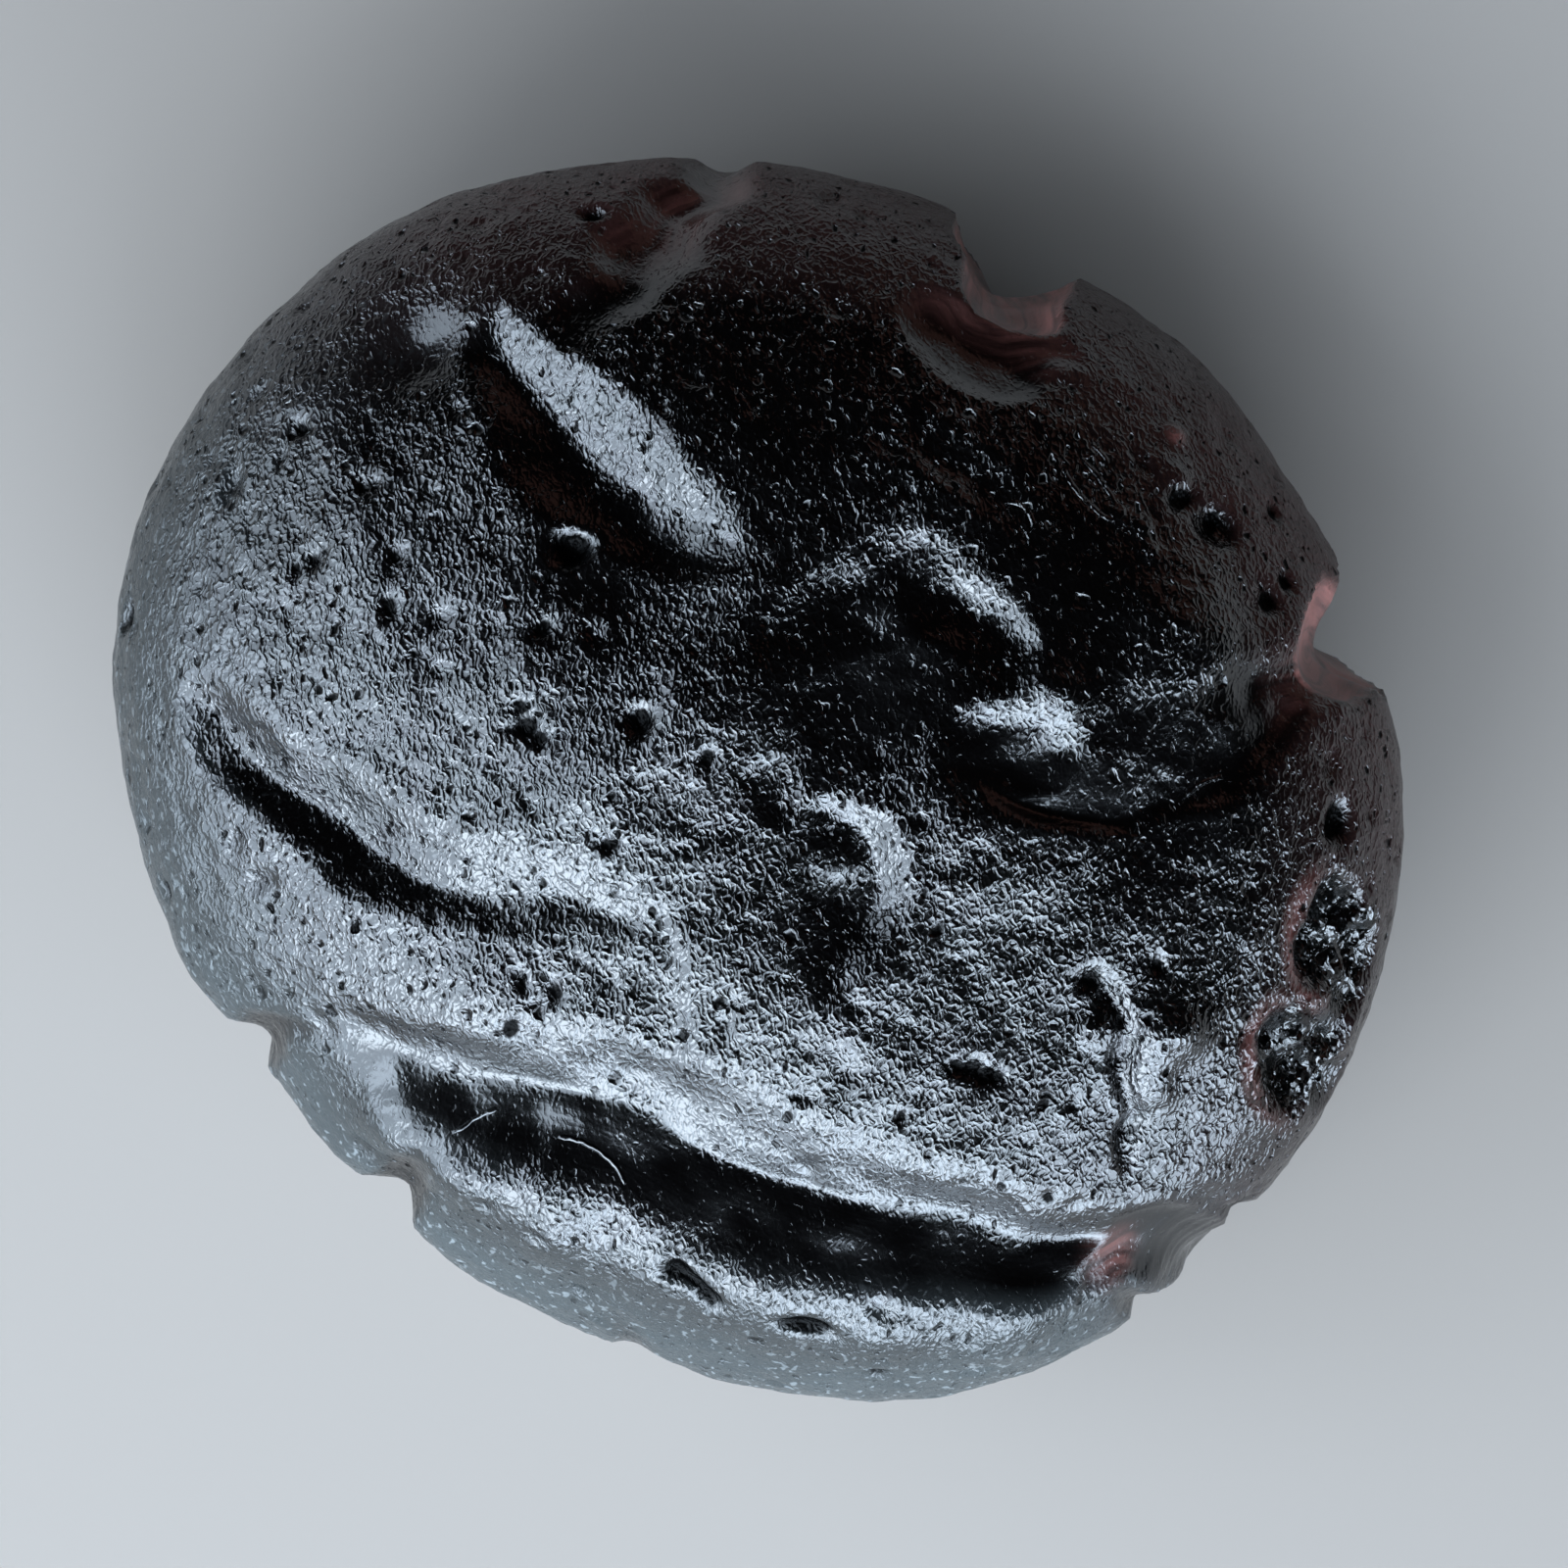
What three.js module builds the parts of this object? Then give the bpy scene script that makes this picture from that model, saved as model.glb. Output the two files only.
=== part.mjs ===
// A tektite: one lump of black natural glass, a thick domed disc with U-shaped corrosion grooves, rim
// notches and pits, lying on a small flat worn on its underside. Millimetres, +Z up, origin under the middle
// of the stone on the surface it rests on.
import * as THREE from "three";
import { mergeVertices } from "three/addons/utils/BufferGeometryUtils.js";

// ---- Driving dimensions -----------------------------------------------------------------------------

// Distance from the middle of the stone to its rim, every 15 degrees anticlockwise from +X.
const RIM_RADII = [
  24.0, 23.3, 22.8, 22.8, 22.4, 22.8, 23.3, 24.0, 25.0, 25.2, 25.2, 24.6,
  23.4, 22.2, 20.8, 20.5, 20.9, 21.2, 22.2, 23.4, 24.0, 23.9, 24.2, 24.1,
];
const DOME_HEIGHT = 11.2; // from the rim up to the top of the dome
const BELLY_DEPTH = 10.2; // from the rim down to the bottom of the belly, before the flat is worn on it
const FLAT_WEAR = 0.5; // how much of the belly the resting flat has taken off
const FULLNESS = 2.25; // exponent of the section: 2 is an ellipse, more has a squarer shoulder
const HOLLOW_ROUNDING = 1.5; // exponent of a hollow's section: more has a wider lip and a narrower floor
const CRISP_LIP = 1.0; // that exponent in a hollow with a sharp lip
// The slow swell over the whole skin, which dies out on the rim: each entry is two sine waves multiplied, as
// its height and then for both waves how many there are in SWELL_LENGTH along x, y and z, and their phase.
const SWELL = [
  [0.14, [1, 0, 0, 1.1], [0, 1, 0.6, 2.0]],
  [0.06, [2, -1, 0, 0.6], [0, 2, 1.5, 0]],
];
const SWELL_LENGTH = 14;

const BASE_DETAIL = 15; // edge divisions of the icosahedron that the skin is made from
const SAG = 0.085; // an edge that the skin bows away from by more than this is split
const SHORTEST_EDGE = 0.8; // no edge shorter than this is split
const SPLIT_ROUNDS = 4;
const SAMPLES_PER_SPAN = 10; // bowls laid along a groove between two of its stations

const TOP = 1;
const UNDER = -1;
const UP = new THREE.Vector3(0, 0, 1);

// ---- Grooves: stations [x, y, half width, depth] on the top, then on the underside ------------------
// A groove that has both runs over the rim. A station past the rim lies on it. `square` is the exponent of
// the floor: 1 is round, less is towards a V. `lean` is how much wider the right bank is than the left one,
// as a share of the half width. `lip` is the exponent of its section in place of HOLLOW_ROUNDING.

const GROOVES = [
  // the long groove round the lower side, out to its bowl at the rim
  { square: 0.65, lean: 0.05, top: [
    [-15.4, -8.4, 1.2, 0.15], [-13.8, -9.3, 2, 0.5], [-12, -10.3, 2.6, 0.9], [-9.7, -10.8, 3, 1.1],
    [-7.1, -11.2, 3.5, 1.2], [-4.4, -11.9, 3.7, 1.25], [-1.9, -13.4, 3.5, 1.25], [0.8, -14.6, 3.3, 1.2],
    [4, -15.5, 3.1, 1.15], [7.2, -16.2, 2.9, 1.1], [9.8, -16.7, 2.6, 1], [12, -16.7, 2.2, 0.9],
    [13.4, -16.7, 1.6, 0.4],
  ] },
  { top: [[12.9, -17.1, 1.7, 0.6], [14.6, -16.8, 2, 0.9], [16.8, -17, 1.9, 0.6]] },
  // the groove on the left shoulder, tailing off to the middle
  { square: 0.7, lean: -0.2, top: [
    [-20.8, 3.1, 1, 0.4], [-19.2, 1.5, 1.9, 0.9], [-17.5, 0, 2.2, 1.1], [-15.8, -1.1, 2.3, 1.2],
    [-14.2, -2.3, 2.2, 1.1], [-12, -3.2, 2, 0.7], [-9.6, -3.8, 1.8, 0.4], [-7.2, -4.3, 1.5, 0.25],
    [-5, -4.5, 1.2, 0.1],
  ] },
  // the straight groove high on the left
  { square: 0.8, lean: 0.1, top: [
    [-9.7, 17, 1, 0.4], [-8.8, 15.3, 1.9, 0.9], [-7.5, 13.6, 2.5, 1.2], [-5.7, 11.8, 2.8, 1.3],
    [-3.8, 10.3, 2.6, 1.1], [-2.2, 9.4, 2, 0.6], [-1, 8.9, 1.3, 0.2],
  ] },
  // the arched trough over the middle
  { square: 0.8, lean: 0.15, top: [
    [0.6, 5.4, 1.4, 0.2], [2.2, 6.2, 1.9, 0.4], [3.8, 7.3, 2.1, 0.5], [5.4, 7.8, 2, 0.5],
    [7, 7.1, 1.8, 0.6], [8.3, 6.1, 1.7, 0.6], [9.2, 5, 1.5, 0.45], [9.5, 3.9, 1.1, 0.1],
  ] },
  // the trough from the middle towards the right-hand notch, deepest along its lower side
  { square: 0.8, lean: -0.6, top: [
    [7.6, 0.9, 1.4, 0.4], [9.6, -0.4, 2, 0.8], [12, -1.1, 1.8, 0.5], [14, -1, 1.6, 0.3],
    [16, -0.3, 1.6, 0.3], [18, 1.1, 1.8, 0.5], [19.6, 2.6, 1.9, 0.7],
  ] },
  { top: [[8.8, 1.3, 2.3, 0.7], [9.8, 1.1, 2.6, 0.9], [10.6, 0.9, 2.1, 0.6]] },
  // the right-hand notch, over the rim
  { top: [[17, 3.1, 1.6, 0.3], [18.6, 3.4, 1.9, 0.6], [20.2, 4.2, 1.7, 0.6]] },
  { lip: CRISP_LIP, top: [[21.2, 5.2, 2, 1.5], [22, 5.6, 2.3, 1.9], [22.9, 6, 2.4, 2.1]],
    under: [[21.2, 7, 2.3, 1.8], [18, 8.2, 2.1, 1.1], [13.6, 8.6, 1.5, 0.2]] },
  // the arched hollow below the middle
  { square: 0.8, lean: 0.3, top: [
    [1.8, -1.4, 1.1, 0.1], [3, -1.2, 1.6, 0.45], [4.1, -2.2, 1.9, 0.75], [4.3, -3.6, 2, 0.75],
    [3.7, -5.2, 1.8, 0.5], [2.8, -6.8, 1.2, 0.15],
  ] },
  // narrow creases
  { top: [[0.9, 1.4, 0.8, 0.1], [0.9, 0.3, 1.1, 0.3], [1, -0.8, 0.8, 0.1]] },
  { lean: 0.3, top: [
    [-3.7, -4.6, 1, 0.1], [-3.2, -6.8, 1.3, 0.22], [-2.9, -9, 1.2, 0.22], [-3.1, -10.8, 0.9, 0.1],
  ] },
  { top: [
    [12.9, -5.9, 0.9, 0.2], [13.0, -7.5, 0.9, 0.4], [13.2, -9.2, 0.9, 0.5], [13.5, -11.2, 0.9, 0.4],
    [13.6, -13.9, 0.8, 0.1],
  ] },
  { top: [[5.9, 12.9, 0.9, 0.2], [7.6, 11.4, 1.2, 0.35], [9.4, 9.8, 0.9, 0.1]] },
  // the upper right notch, cut deep into the rim, with a shallower scoop above it
  { lip: CRISP_LIP, top: [
    [6.4, 17.2, 1.4, 0.3], [7.4, 16.2, 1.9, 0.65], [8.9, 15.7, 2, 0.6], [10.6, 15.9, 1.4, 0.25],
  ] },
  { lip: CRISP_LIP, top: [[9.4, 18.4, 2.2, 1.5], [9.6, 19.4, 2.5, 2], [9.8, 20.8, 2.6, 2.2]],
    under: [[10.3, 19, 2.3, 1.8], [11.2, 16.2, 1.9, 1], [12.2, 12.8, 1.4, 0.2]] },
  // the shallow notch at the top
  { top: [
    [-7.4, 16.2, 1.1, 0.1], [-5.4, 18, 1.7, 0.4], [-4, 19.8, 2.1, 0.8], [-2.9, 21.4, 2.1, 1],
    [-1.6, 22.9, 1.7, 0.9],
  ], under: [[-0.8, 21.4, 1.6, 0.7], [0.4, 18.6, 1.4, 0.4], [1.6, 15.8, 1.1, 0.1]] },
  // the creases between the scallops of the lower left rim
  { top: [[-15.8, -8.6, 0.9, 0.1], [-17.4, -9, 1.2, 0.4], [-19.4, -9.6, 1.5, 1.1]],
    under: [[-17.2, -9, 1.5, 1], [-14, -8.6, 1.3, 0.3]] },
  { top: [[-11.7, -12.6, 0.9, 0.1], [-12.6, -14, 1.3, 0.5], [-13.9, -15.4, 1.6, 1.3]],
    under: [[-12, -13.8, 1.6, 1.1], [-9.6, -11.8, 1.4, 0.3]] },
  { top: [[-4.9, -19.6, 1, 0.1], [-4.5, -21.6, 1.3, 0.4]],
    under: [[-3.9, -19, 1.4, 0.5], [-2, -15.6, 1.1, 0.1]] },
  // the creases on either side of the bowl at the lower right
  { top: [[15.8, -14.8, 0.8, 0.1], [18.2, -16, 1.1, 0.7]], under: [[16.4, -14.6, 1.1, 0.3]] },
  { top: [[13.4, -18.4, 0.8, 0.1], [14.8, -19.8, 1.1, 0.7]], under: [[13.4, -17.6, 1.1, 0.3]] },
  // the underside
  { under: [
    [-19, 7, 1.6, 0.3], [-15.4, 9.6, 2.5, 1.1], [-11, 11.6, 2.7, 1.4], [-6.4, 12.6, 2.3, 0.9],
    [-3, 12.4, 1.5, 0.2],
  ] },
  { under: [
    [4.2, -19.4, 1.6, 0.3], [7.6, -16.4, 2.4, 1], [11.8, -12, 2.7, 1.3], [15.4, -7.6, 2.4, 1],
    [17.6, -3.4, 1.7, 0.2],
  ] },
  { under: [
    [-18.8, -2.4, 1.6, 0.3], [-15.2, -3.8, 2.3, 0.9], [-11.2, -4.2, 1.9, 0.5], [-8.6, -3.4, 1.3, 0.1],
  ] },
];

// ---- Pits: [x, y, radius, depth] --------------------------------------------------------------------

const PITS = {
  [TOP]: [
    // the two broken pits on the right rim, each of several bites
    [21.4, -4.3, 1.6, 1.0], [20.9, -6.1, 1.7, 1.2], [22.4, -6.0, 1.5, 0.9], [21.8, -7.6, 1.3, 0.7],
    [19.3, -9.0, 1.4, 0.9], [20.0, -10.6, 1.7, 1.1], [20.9, -9.2, 1.4, 0.8], [21.2, -10.8, 1.2, 0.6],
    // chips along the right rim
    [21.3, -1.3, 1.3, 0.6], [18.4, 6.9, 1.2, 0.6], [16.7, 9.4, 1.3, 0.9], [15.5, 10.5, 1.2, 0.4],
    // single pits
    [-6.8, 8.5, 1.6, 0.8], [-4.2, 2.3, 1.1, 0.5], [-8.2, 2.3, 1.4, 0.4], [-16.3, 8.2, 1.3, 0.4],
    [-5.7, 21.3, 1.2, 0.6], [8.0, -10.5, 1.6, 0.5], [-2.5, -17.7, 1.4, 0.6], [1.7, -19.4, 1.4, 0.6],
    [-14.2, -13.4, 1.3, 0.3], [12.3, -6.7, 1.1, 0.5],
  ],
  [UNDER]: [
    [6.8, 9.6, 2.0, 0.8], [17.4, 1.8, 1.6, 0.7], [-12.6, 3.6, 1.7, 0.7], [-6.0, -16.6, 1.6, 0.7],
    [14.2, 14.6, 1.5, 0.7], [-16.8, 14.0, 1.8, 0.8], [3.4, -12.6, 1.5, 0.5], [9.8, -6.2, 1.4, 0.6],
    [-1.0, 16.6, 1.4, 0.6], [19.6, -6.4, 1.6, 0.7], [-13.6, -10.4, 1.4, 0.6],
  ],
};

// ---- Lumps and broad hollows: [x, y, radius, height], a hollow having a negative height -------------

const LUMPS = {
  [TOP]: [
    [14.5, -9.0, 1.1, 0.5], [15.7, -8.8, 1.0, 0.4], [14.5, -10.9, 0.9, 0.35], // beads beside the crease
    [-12.5, 16.3, 2.1, -0.9], // the hollow beside the straight groove
    [7.0, 5.0, 11.0, 0.7], // the high side of the dome
    [-2.1, 2.4, 2.9, 0.7], // the brow to the left of its middle
    [4.4, 3.8, 3.8, -0.7], // the floor within the arched trough
    [2.8, -4.2, 2.4, -0.4], // the floor of the hollow below it
    [-4.4, 7.9, 2.2, -0.4], // the low ground at the foot of the straight groove
    [-6.4, 6.2, 2.2, 0.35],
    [-1.2, 12.9, 3.4, 0.4], // the far shoulder of the straight groove
    [-6.2, -0.7, 3.0, 0.2], // between the left groove and the middle
    [-8.4, 3.9, 1.8, 0.3],
    [15.0, 5.2, 2.2, 0.55], // the swollen lip of the right-hand groove
    [10.6, 3.6, 1.5, 0.3],
    [6.2, 11.6, 2.2, 0.3], // the brow over the alcove
    [-9.4, -8.4, 2.4, 0.3], // the lip of the long groove
    [22.0, 8.6, 1.6, 0.1], // the horn above the right-hand notch
    // the low lip of the long groove
    [-13.0, -12.2, 1.9, 0.95], [-10.5, -13.8, 1.9, 1.0], [-7.4, -15.6, 2.1, 0.9],
    [-3.6, -17.3, 2.2, 0.65], [0.4, -18.6, 2.3, 0.7], [4.6, -19.4, 2.4, 0.8], [9.0, -19.4, 2.3, 0.85],
    [-20.8, -6.4, 2.2, 0.3], [-16.0, -12.6, 2.2, 0.3], [-11.6, -16.6, 2.2, 0.2], // scallops
  ],
  [UNDER]: [
    [-7.6, 15.8, 3.6, 0.4], [10.2, 3.2, 3.6, 0.3], [-6.0, -9.6, 3.4, 0.3], [16.0, -12.6, 3.2, 0.4],
  ],
};

// ---- The smooth stone before anything was etched into it --------------------------------------------

// One span of a Catmull-Rom spline through rows of numbers, t running from the second row to the third.
function catmullRom([a, b, c, d], t) {
  return b.map((_, i) =>
    0.5 * (2 * b[i] + (c[i] - a[i]) * t + (2 * a[i] - 5 * b[i] + 4 * c[i] - d[i]) * t * t +
      (3 * b[i] - a[i] - 3 * c[i] + d[i]) * t * t * t));
}

function rimRadius(angle) {
  const count = RIM_RADII.length;
  const place = ((angle / (2 * Math.PI)) * count + count) % count;
  const first = Math.floor(place);
  const around = [-1, 0, 1, 2].map((step) => [RIM_RADII[(first + step + count) % count]]);
  return catmullRom(around, place - first)[0];
}

// The point of the smooth stone in a unit direction from its middle.
function smoothPoint(direction) {
  const angle = Math.atan2(direction.y, direction.x);
  const out = rimRadius(angle) * Math.hypot(direction.x, direction.y) ** (2 / FULLNESS);
  const rise = Math.abs(direction.z) ** (2 / FULLNESS);
  const z = direction.z > 0 ? DOME_HEIGHT * rise : -BELLY_DEPTH * rise;
  return new THREE.Vector3(out * Math.cos(angle), out * Math.sin(angle), z);
}

// The point of the smooth stone above or below a place in plan; a place past the rim is brought back to it.
function pointAt(x, y, side) {
  const angle = Math.atan2(y, x);
  const level = Math.min(1, Math.hypot(x, y) / rimRadius(angle)) ** (FULLNESS / 2);
  const up = side * Math.sqrt(1 - level * level);
  return smoothPoint(new THREE.Vector3(level * Math.cos(angle), level * Math.sin(angle), up));
}

// ---- Lumps, grooves and pits ------------------------------------------------------------------------

// Every lump as { centre, radius, height } on the smooth stone.
function allLumps() {
  return [TOP, UNDER].flatMap((side) =>
    LUMPS[side].map(([x, y, radius, height]) => ({ centre: pointAt(x, y, side), radius, height })));
}

// Every groove and pit as round bowls on the smooth stone, a groove as a chain of them.
function allBowls() {
  const bowls = [];
  for (const { square = 1, lean = 0, lip = HOLLOW_ROUNDING, top = [], under = [] } of GROOVES) {
    const stations = [
      ...top.map(([x, y, radius, depth]) => [...pointAt(x, y, TOP), radius, depth]),
      ...under.map(([x, y, radius, depth]) => [...pointAt(x, y, UNDER), radius, depth]),
    ];
    const ends = [stations[0], ...stations, stations.at(-1)];
    const chain = [];
    for (let span = 0; span + 1 < stations.length; span++)
      for (let step = 0; step < SAMPLES_PER_SPAN; step++)
        chain.push(catmullRom(ends.slice(span, span + 4), step / SAMPLES_PER_SPAN));
    chain.push(stations.at(-1));
    const centres = chain.map(([x, y, z]) => new THREE.Vector3(x, y, z));
    chain.forEach(([, , , radius, depth], i) => {
      const [before, after] = [centres[Math.max(0, i - 1)], centres[Math.min(i + 1, centres.length - 1)]];
      const leftward = new THREE.Vector3().crossVectors(UP, after.clone().sub(before)).normalize();
      bowls.push({ centre: centres[i], radius, depth, square, lean, lip, leftward });
    });
  }
  for (const side of [TOP, UNDER])
    for (const [x, y, radius, depth] of PITS[side])
      bowls.push({
        centre: pointAt(x, y, side), radius, depth, square: 1, lean: 0, lip: HOLLOW_ROUNDING, leftward: UP,
      });
  return bowls;
}

// How deep a bowl lies below a point of the smooth stone.
function depthOf({ centre, radius, depth, square, lean, lip, leftward }, p) {
  const offset = p.clone().sub(centre);
  const aside = offset.dot(leftward);
  const reach = radius * (1 - lean * Math.sign(aside));
  const share = (offset.lengthSq() - aside * aside) / radius ** 2 + (aside / reach) ** 2;
  return share < 1 ? depth * (1 - share ** square) ** lip : 0;
}

const lumps = allLumps();
const bowls = allBowls();

// The height of the swell at a point of the smooth stone.
function swell(p) {
  const wave = ([alongX, alongY, alongZ, phase]) =>
    Math.sin((2 * Math.PI * (alongX * p.x + alongY * p.y + alongZ * p.z)) / SWELL_LENGTH + phase);
  const height = SWELL.reduce((sum, [rise, first, second]) => sum + rise * wave(first) * wave(second), 0);
  const offRim = Math.abs(p.z) / (p.z > 0 ? DOME_HEIGHT : BELLY_DEPTH); // 0 on the rim, 1 furthest from it
  return height * (1 - (1 - offRim ** 2) ** 2);
}

// How far the skin at a point of the smooth stone stands out from it.
function relief(p) {
  let height = swell(p);
  for (const { centre, radius, height: rise } of lumps)
    height += rise * Math.exp(-p.distanceToSquared(centre) / (radius * radius));
  let deepest = 0;
  for (const bowl of bowls) deepest = Math.max(deepest, depthOf(bowl, p));
  return height - deepest;
}

// ---- The skin ---------------------------------------------------------------------------------------

const ALONG_X = new THREE.Vector3(1, 0, 0);

// The point of the finished skin in a unit direction: the smooth stone's, moved out by the relief there.
function skinPoint(direction) {
  const small = 1e-3;
  const side = new THREE.Vector3().crossVectors(direction, ALONG_X).normalize();
  const over = new THREE.Vector3().crossVectors(direction, side);
  const step = (way, sign) => smoothPoint(direction.clone().addScaledVector(way, sign * small).normalize());
  const tangentA = step(side, 1).sub(step(side, -1));
  const tangentB = step(over, 1).sub(step(over, -1));
  const normal = tangentA.cross(tangentB).normalize();
  const p = smoothPoint(direction);
  return p.addScaledVector(normal, relief(p));
}

// A ball of unit directions, its edges split where the skin bows away from them.
function splitBall() {
  const ball = new THREE.IcosahedronGeometry(1, BASE_DETAIL);
  ball.deleteAttribute("normal");
  ball.deleteAttribute("uv");
  const merged = mergeVertices(ball);
  const { position } = merged.attributes;
  const directions = [];
  for (let i = 0; i < position.count; i++)
    directions.push(new THREE.Vector3().fromBufferAttribute(position, i).normalize());
  const skin = directions.map(skinPoint);
  let triangles = [];
  for (let i = 0; i < merged.index.count; i += 3)
    triangles.push([...merged.index.array.slice(i, i + 3)]);

  for (let round = 0; round < SPLIT_ROUNDS; round++) {
    const middles = new Map(); // from an edge to the vertex that splits it, or null where it stays whole
    const middleOf = (a, b) => {
      const edge = a < b ? `${a} ${b}` : `${b} ${a}`;
      if (!middles.has(edge)) {
        const direction = directions[a].clone().add(directions[b]).normalize();
        const made = skinPoint(direction);
        const chord = skin[a].clone().lerp(skin[b], 0.5);
        const split = made.distanceTo(chord) > SAG && skin[a].distanceTo(skin[b]) > SHORTEST_EDGE;
        middles.set(edge, split ? directions.push(direction) - 1 : null);
        if (split) skin.push(made);
      }
      return middles.get(edge);
    };
    triangles = triangles.flatMap((corners) => splitTriangle(corners, middleOf));
  }
  return { skin, triangles };
}

// The triangles that one becomes when some of its edges are split.
function splitTriangle([a, b, c], middleOf) {
  const [ab, bc, ca] = [middleOf(a, b), middleOf(b, c), middleOf(c, a)];
  const count = [ab, bc, ca].filter((middle) => middle !== null).length;
  if (count === 0) return [[a, b, c]];
  if (count === 3) return [[a, ab, ca], [ab, b, bc], [ca, bc, c], [ab, bc, ca]];
  // turned so that the first edge is split, and with two the second as well
  if (ab === null || (count === 2 && bc === null)) return splitTriangle([b, c, a], middleOf);
  if (count === 1) return [[a, ab, c], [ab, b, c]];
  return [[ab, b, bc], [a, ab, bc], [a, bc, c]];
}

// Wears the resting flat on the belly at height 0 and brings the middle of the plan over the origin.
function setDown(skin) {
  const floor = -BELLY_DEPTH + FLAT_WEAR;
  const box = new THREE.Box3().setFromPoints(skin);
  const middle = box.getCenter(new THREE.Vector3());
  for (const p of skin) p.set(p.x - middle.x, p.y - middle.y, Math.max(0, p.z - floor));
}

const { skin, triangles } = splitBall();
setDown(skin);
const geometry = new THREE.BufferGeometry().setFromPoints(skin);
geometry.setIndex(triangles.flat());
geometry.computeVertexNormals();

const blackGlass = new THREE.MeshStandardMaterial({ color: 0x1a1719, roughness: 0.3, metalness: 0 });
const tektite = new THREE.Mesh(geometry, blackGlass);
tektite.name = "tektite";

const root = new THREE.Group();
root.add(tektite);

export default root;
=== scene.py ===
import math

import bpy
import numpy as np
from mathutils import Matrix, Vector


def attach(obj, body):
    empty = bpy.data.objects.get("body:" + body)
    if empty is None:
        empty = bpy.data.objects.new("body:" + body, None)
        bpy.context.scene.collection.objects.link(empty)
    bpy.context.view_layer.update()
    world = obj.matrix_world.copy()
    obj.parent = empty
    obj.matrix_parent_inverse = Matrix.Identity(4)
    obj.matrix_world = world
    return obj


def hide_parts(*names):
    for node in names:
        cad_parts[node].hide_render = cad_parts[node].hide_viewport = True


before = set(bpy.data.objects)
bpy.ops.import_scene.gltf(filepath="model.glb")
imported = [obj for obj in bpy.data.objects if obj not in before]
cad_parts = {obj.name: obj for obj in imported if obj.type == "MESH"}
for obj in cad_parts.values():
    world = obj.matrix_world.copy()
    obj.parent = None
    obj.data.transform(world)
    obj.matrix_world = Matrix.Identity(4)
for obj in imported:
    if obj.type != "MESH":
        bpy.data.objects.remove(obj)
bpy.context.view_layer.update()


# ---- The cast lump -----------------------------------------------------------------------------------
# A tektite is one lump of natural glass, splashed molten and frozen in flight as a thick domed disc. Before
# anything was etched into it, it was a full-shouldered lens whose rim wandered in and out. Everything on the
# stone is in millimetres, dome up, measured from the middle of the rim, until its mesh is written in metres.

# distance from the middle of the stone to its rim, every 15 degrees anticlockwise from +X
RIM_RADII = np.array([
    24.0, 23.3, 22.8, 22.8, 22.4, 22.8, 23.3, 24.0, 25.0, 25.2, 25.2, 24.6,
    23.4, 22.2, 20.8, 20.5, 20.9, 21.2, 22.2, 23.4, 24.0, 23.9, 24.2, 24.1,
])
DOME_HEIGHT = 11.2
BELLY_DEPTH = 10.2
FULLNESS = 2.25  # exponent of the section: 2 is an ellipse, more has a squarer shoulder
TOP, UNDER = 1, -1

FACES_ALONG_EDGE = 128  # of the cube that the skin is blown up from
UNDER_FINENESS = 0.3  # faces per area on the belly, against those on the dome
FINE_DOWN_TO, COARSE_FROM = -2.0, -8.0  # heights between which the faces grow


def spline(before, start, end, after, t):
    """The point of a Catmull-Rom curve at a share t of the way from start to end."""
    return 0.5 * (2 * start + (end - before) * t
                  + (2 * before - 5 * start + 4 * end - after) * t ** 2
                  + (3 * start - before - 3 * end + after) * t ** 3)


def rim_radius(angle):
    """How far the rim is from the middle at an angle."""
    count = len(RIM_RADII)
    place = angle / (2 * np.pi) * count % count
    first = np.floor(place).astype(int)
    around = [RIM_RADII[(first + step) % count] for step in (-1, 0, 1, 2)]
    return spline(*around, place - first)


def lump_point(directions):
    """The points of the smooth lump in unit directions from its middle."""
    x, y, z = directions.T
    angle = np.arctan2(y, x)
    out = rim_radius(angle) * np.hypot(x, y) ** (2 / FULLNESS)
    depth = np.where(z > 0, DOME_HEIGHT, -BELLY_DEPTH)
    return np.stack([out * np.cos(angle), out * np.sin(angle), depth * np.abs(z) ** (2 / FULLNESS)], -1)


def lump_normal(points):
    """The outward unit normals of the smooth lump at its points."""
    x, y, z = points.T
    angle = np.arctan2(y, x)
    reach = np.maximum(np.hypot(x, y), 1e-6)
    radius = rim_radius(angle)
    bend = 1e-3
    radius_slope = (rim_radius(angle + bend) - rim_radius(angle - bend)) / (2 * bend)
    outward = reach ** (FULLNESS - 1) / radius ** FULLNESS
    around = -reach ** (FULLNESS - 1) * radius_slope / radius ** (FULLNESS + 1)
    height = np.where(z > 0, DOME_HEIGHT, BELLY_DEPTH)
    upward = np.sign(z) * np.abs(z) ** (FULLNESS - 1) / height ** FULLNESS
    normal = np.stack([outward * np.cos(angle) - around * np.sin(angle),
                       outward * np.sin(angle) + around * np.cos(angle), upward], -1)
    return normal / np.linalg.norm(normal, axis=1)[:, None]


def on_lump(x, y, side):
    """The point of the smooth lump above or below a place in plan; one past the rim is brought back to it."""
    angle = np.arctan2(y, x)
    level = np.minimum(1, np.hypot(x, y) / rim_radius(angle)) ** (FULLNESS / 2)
    rise = side * np.sqrt(1 - level ** 2)
    return lump_point(np.stack([level * np.cos(angle), level * np.sin(angle), rise], -1).reshape(-1, 3))


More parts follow.
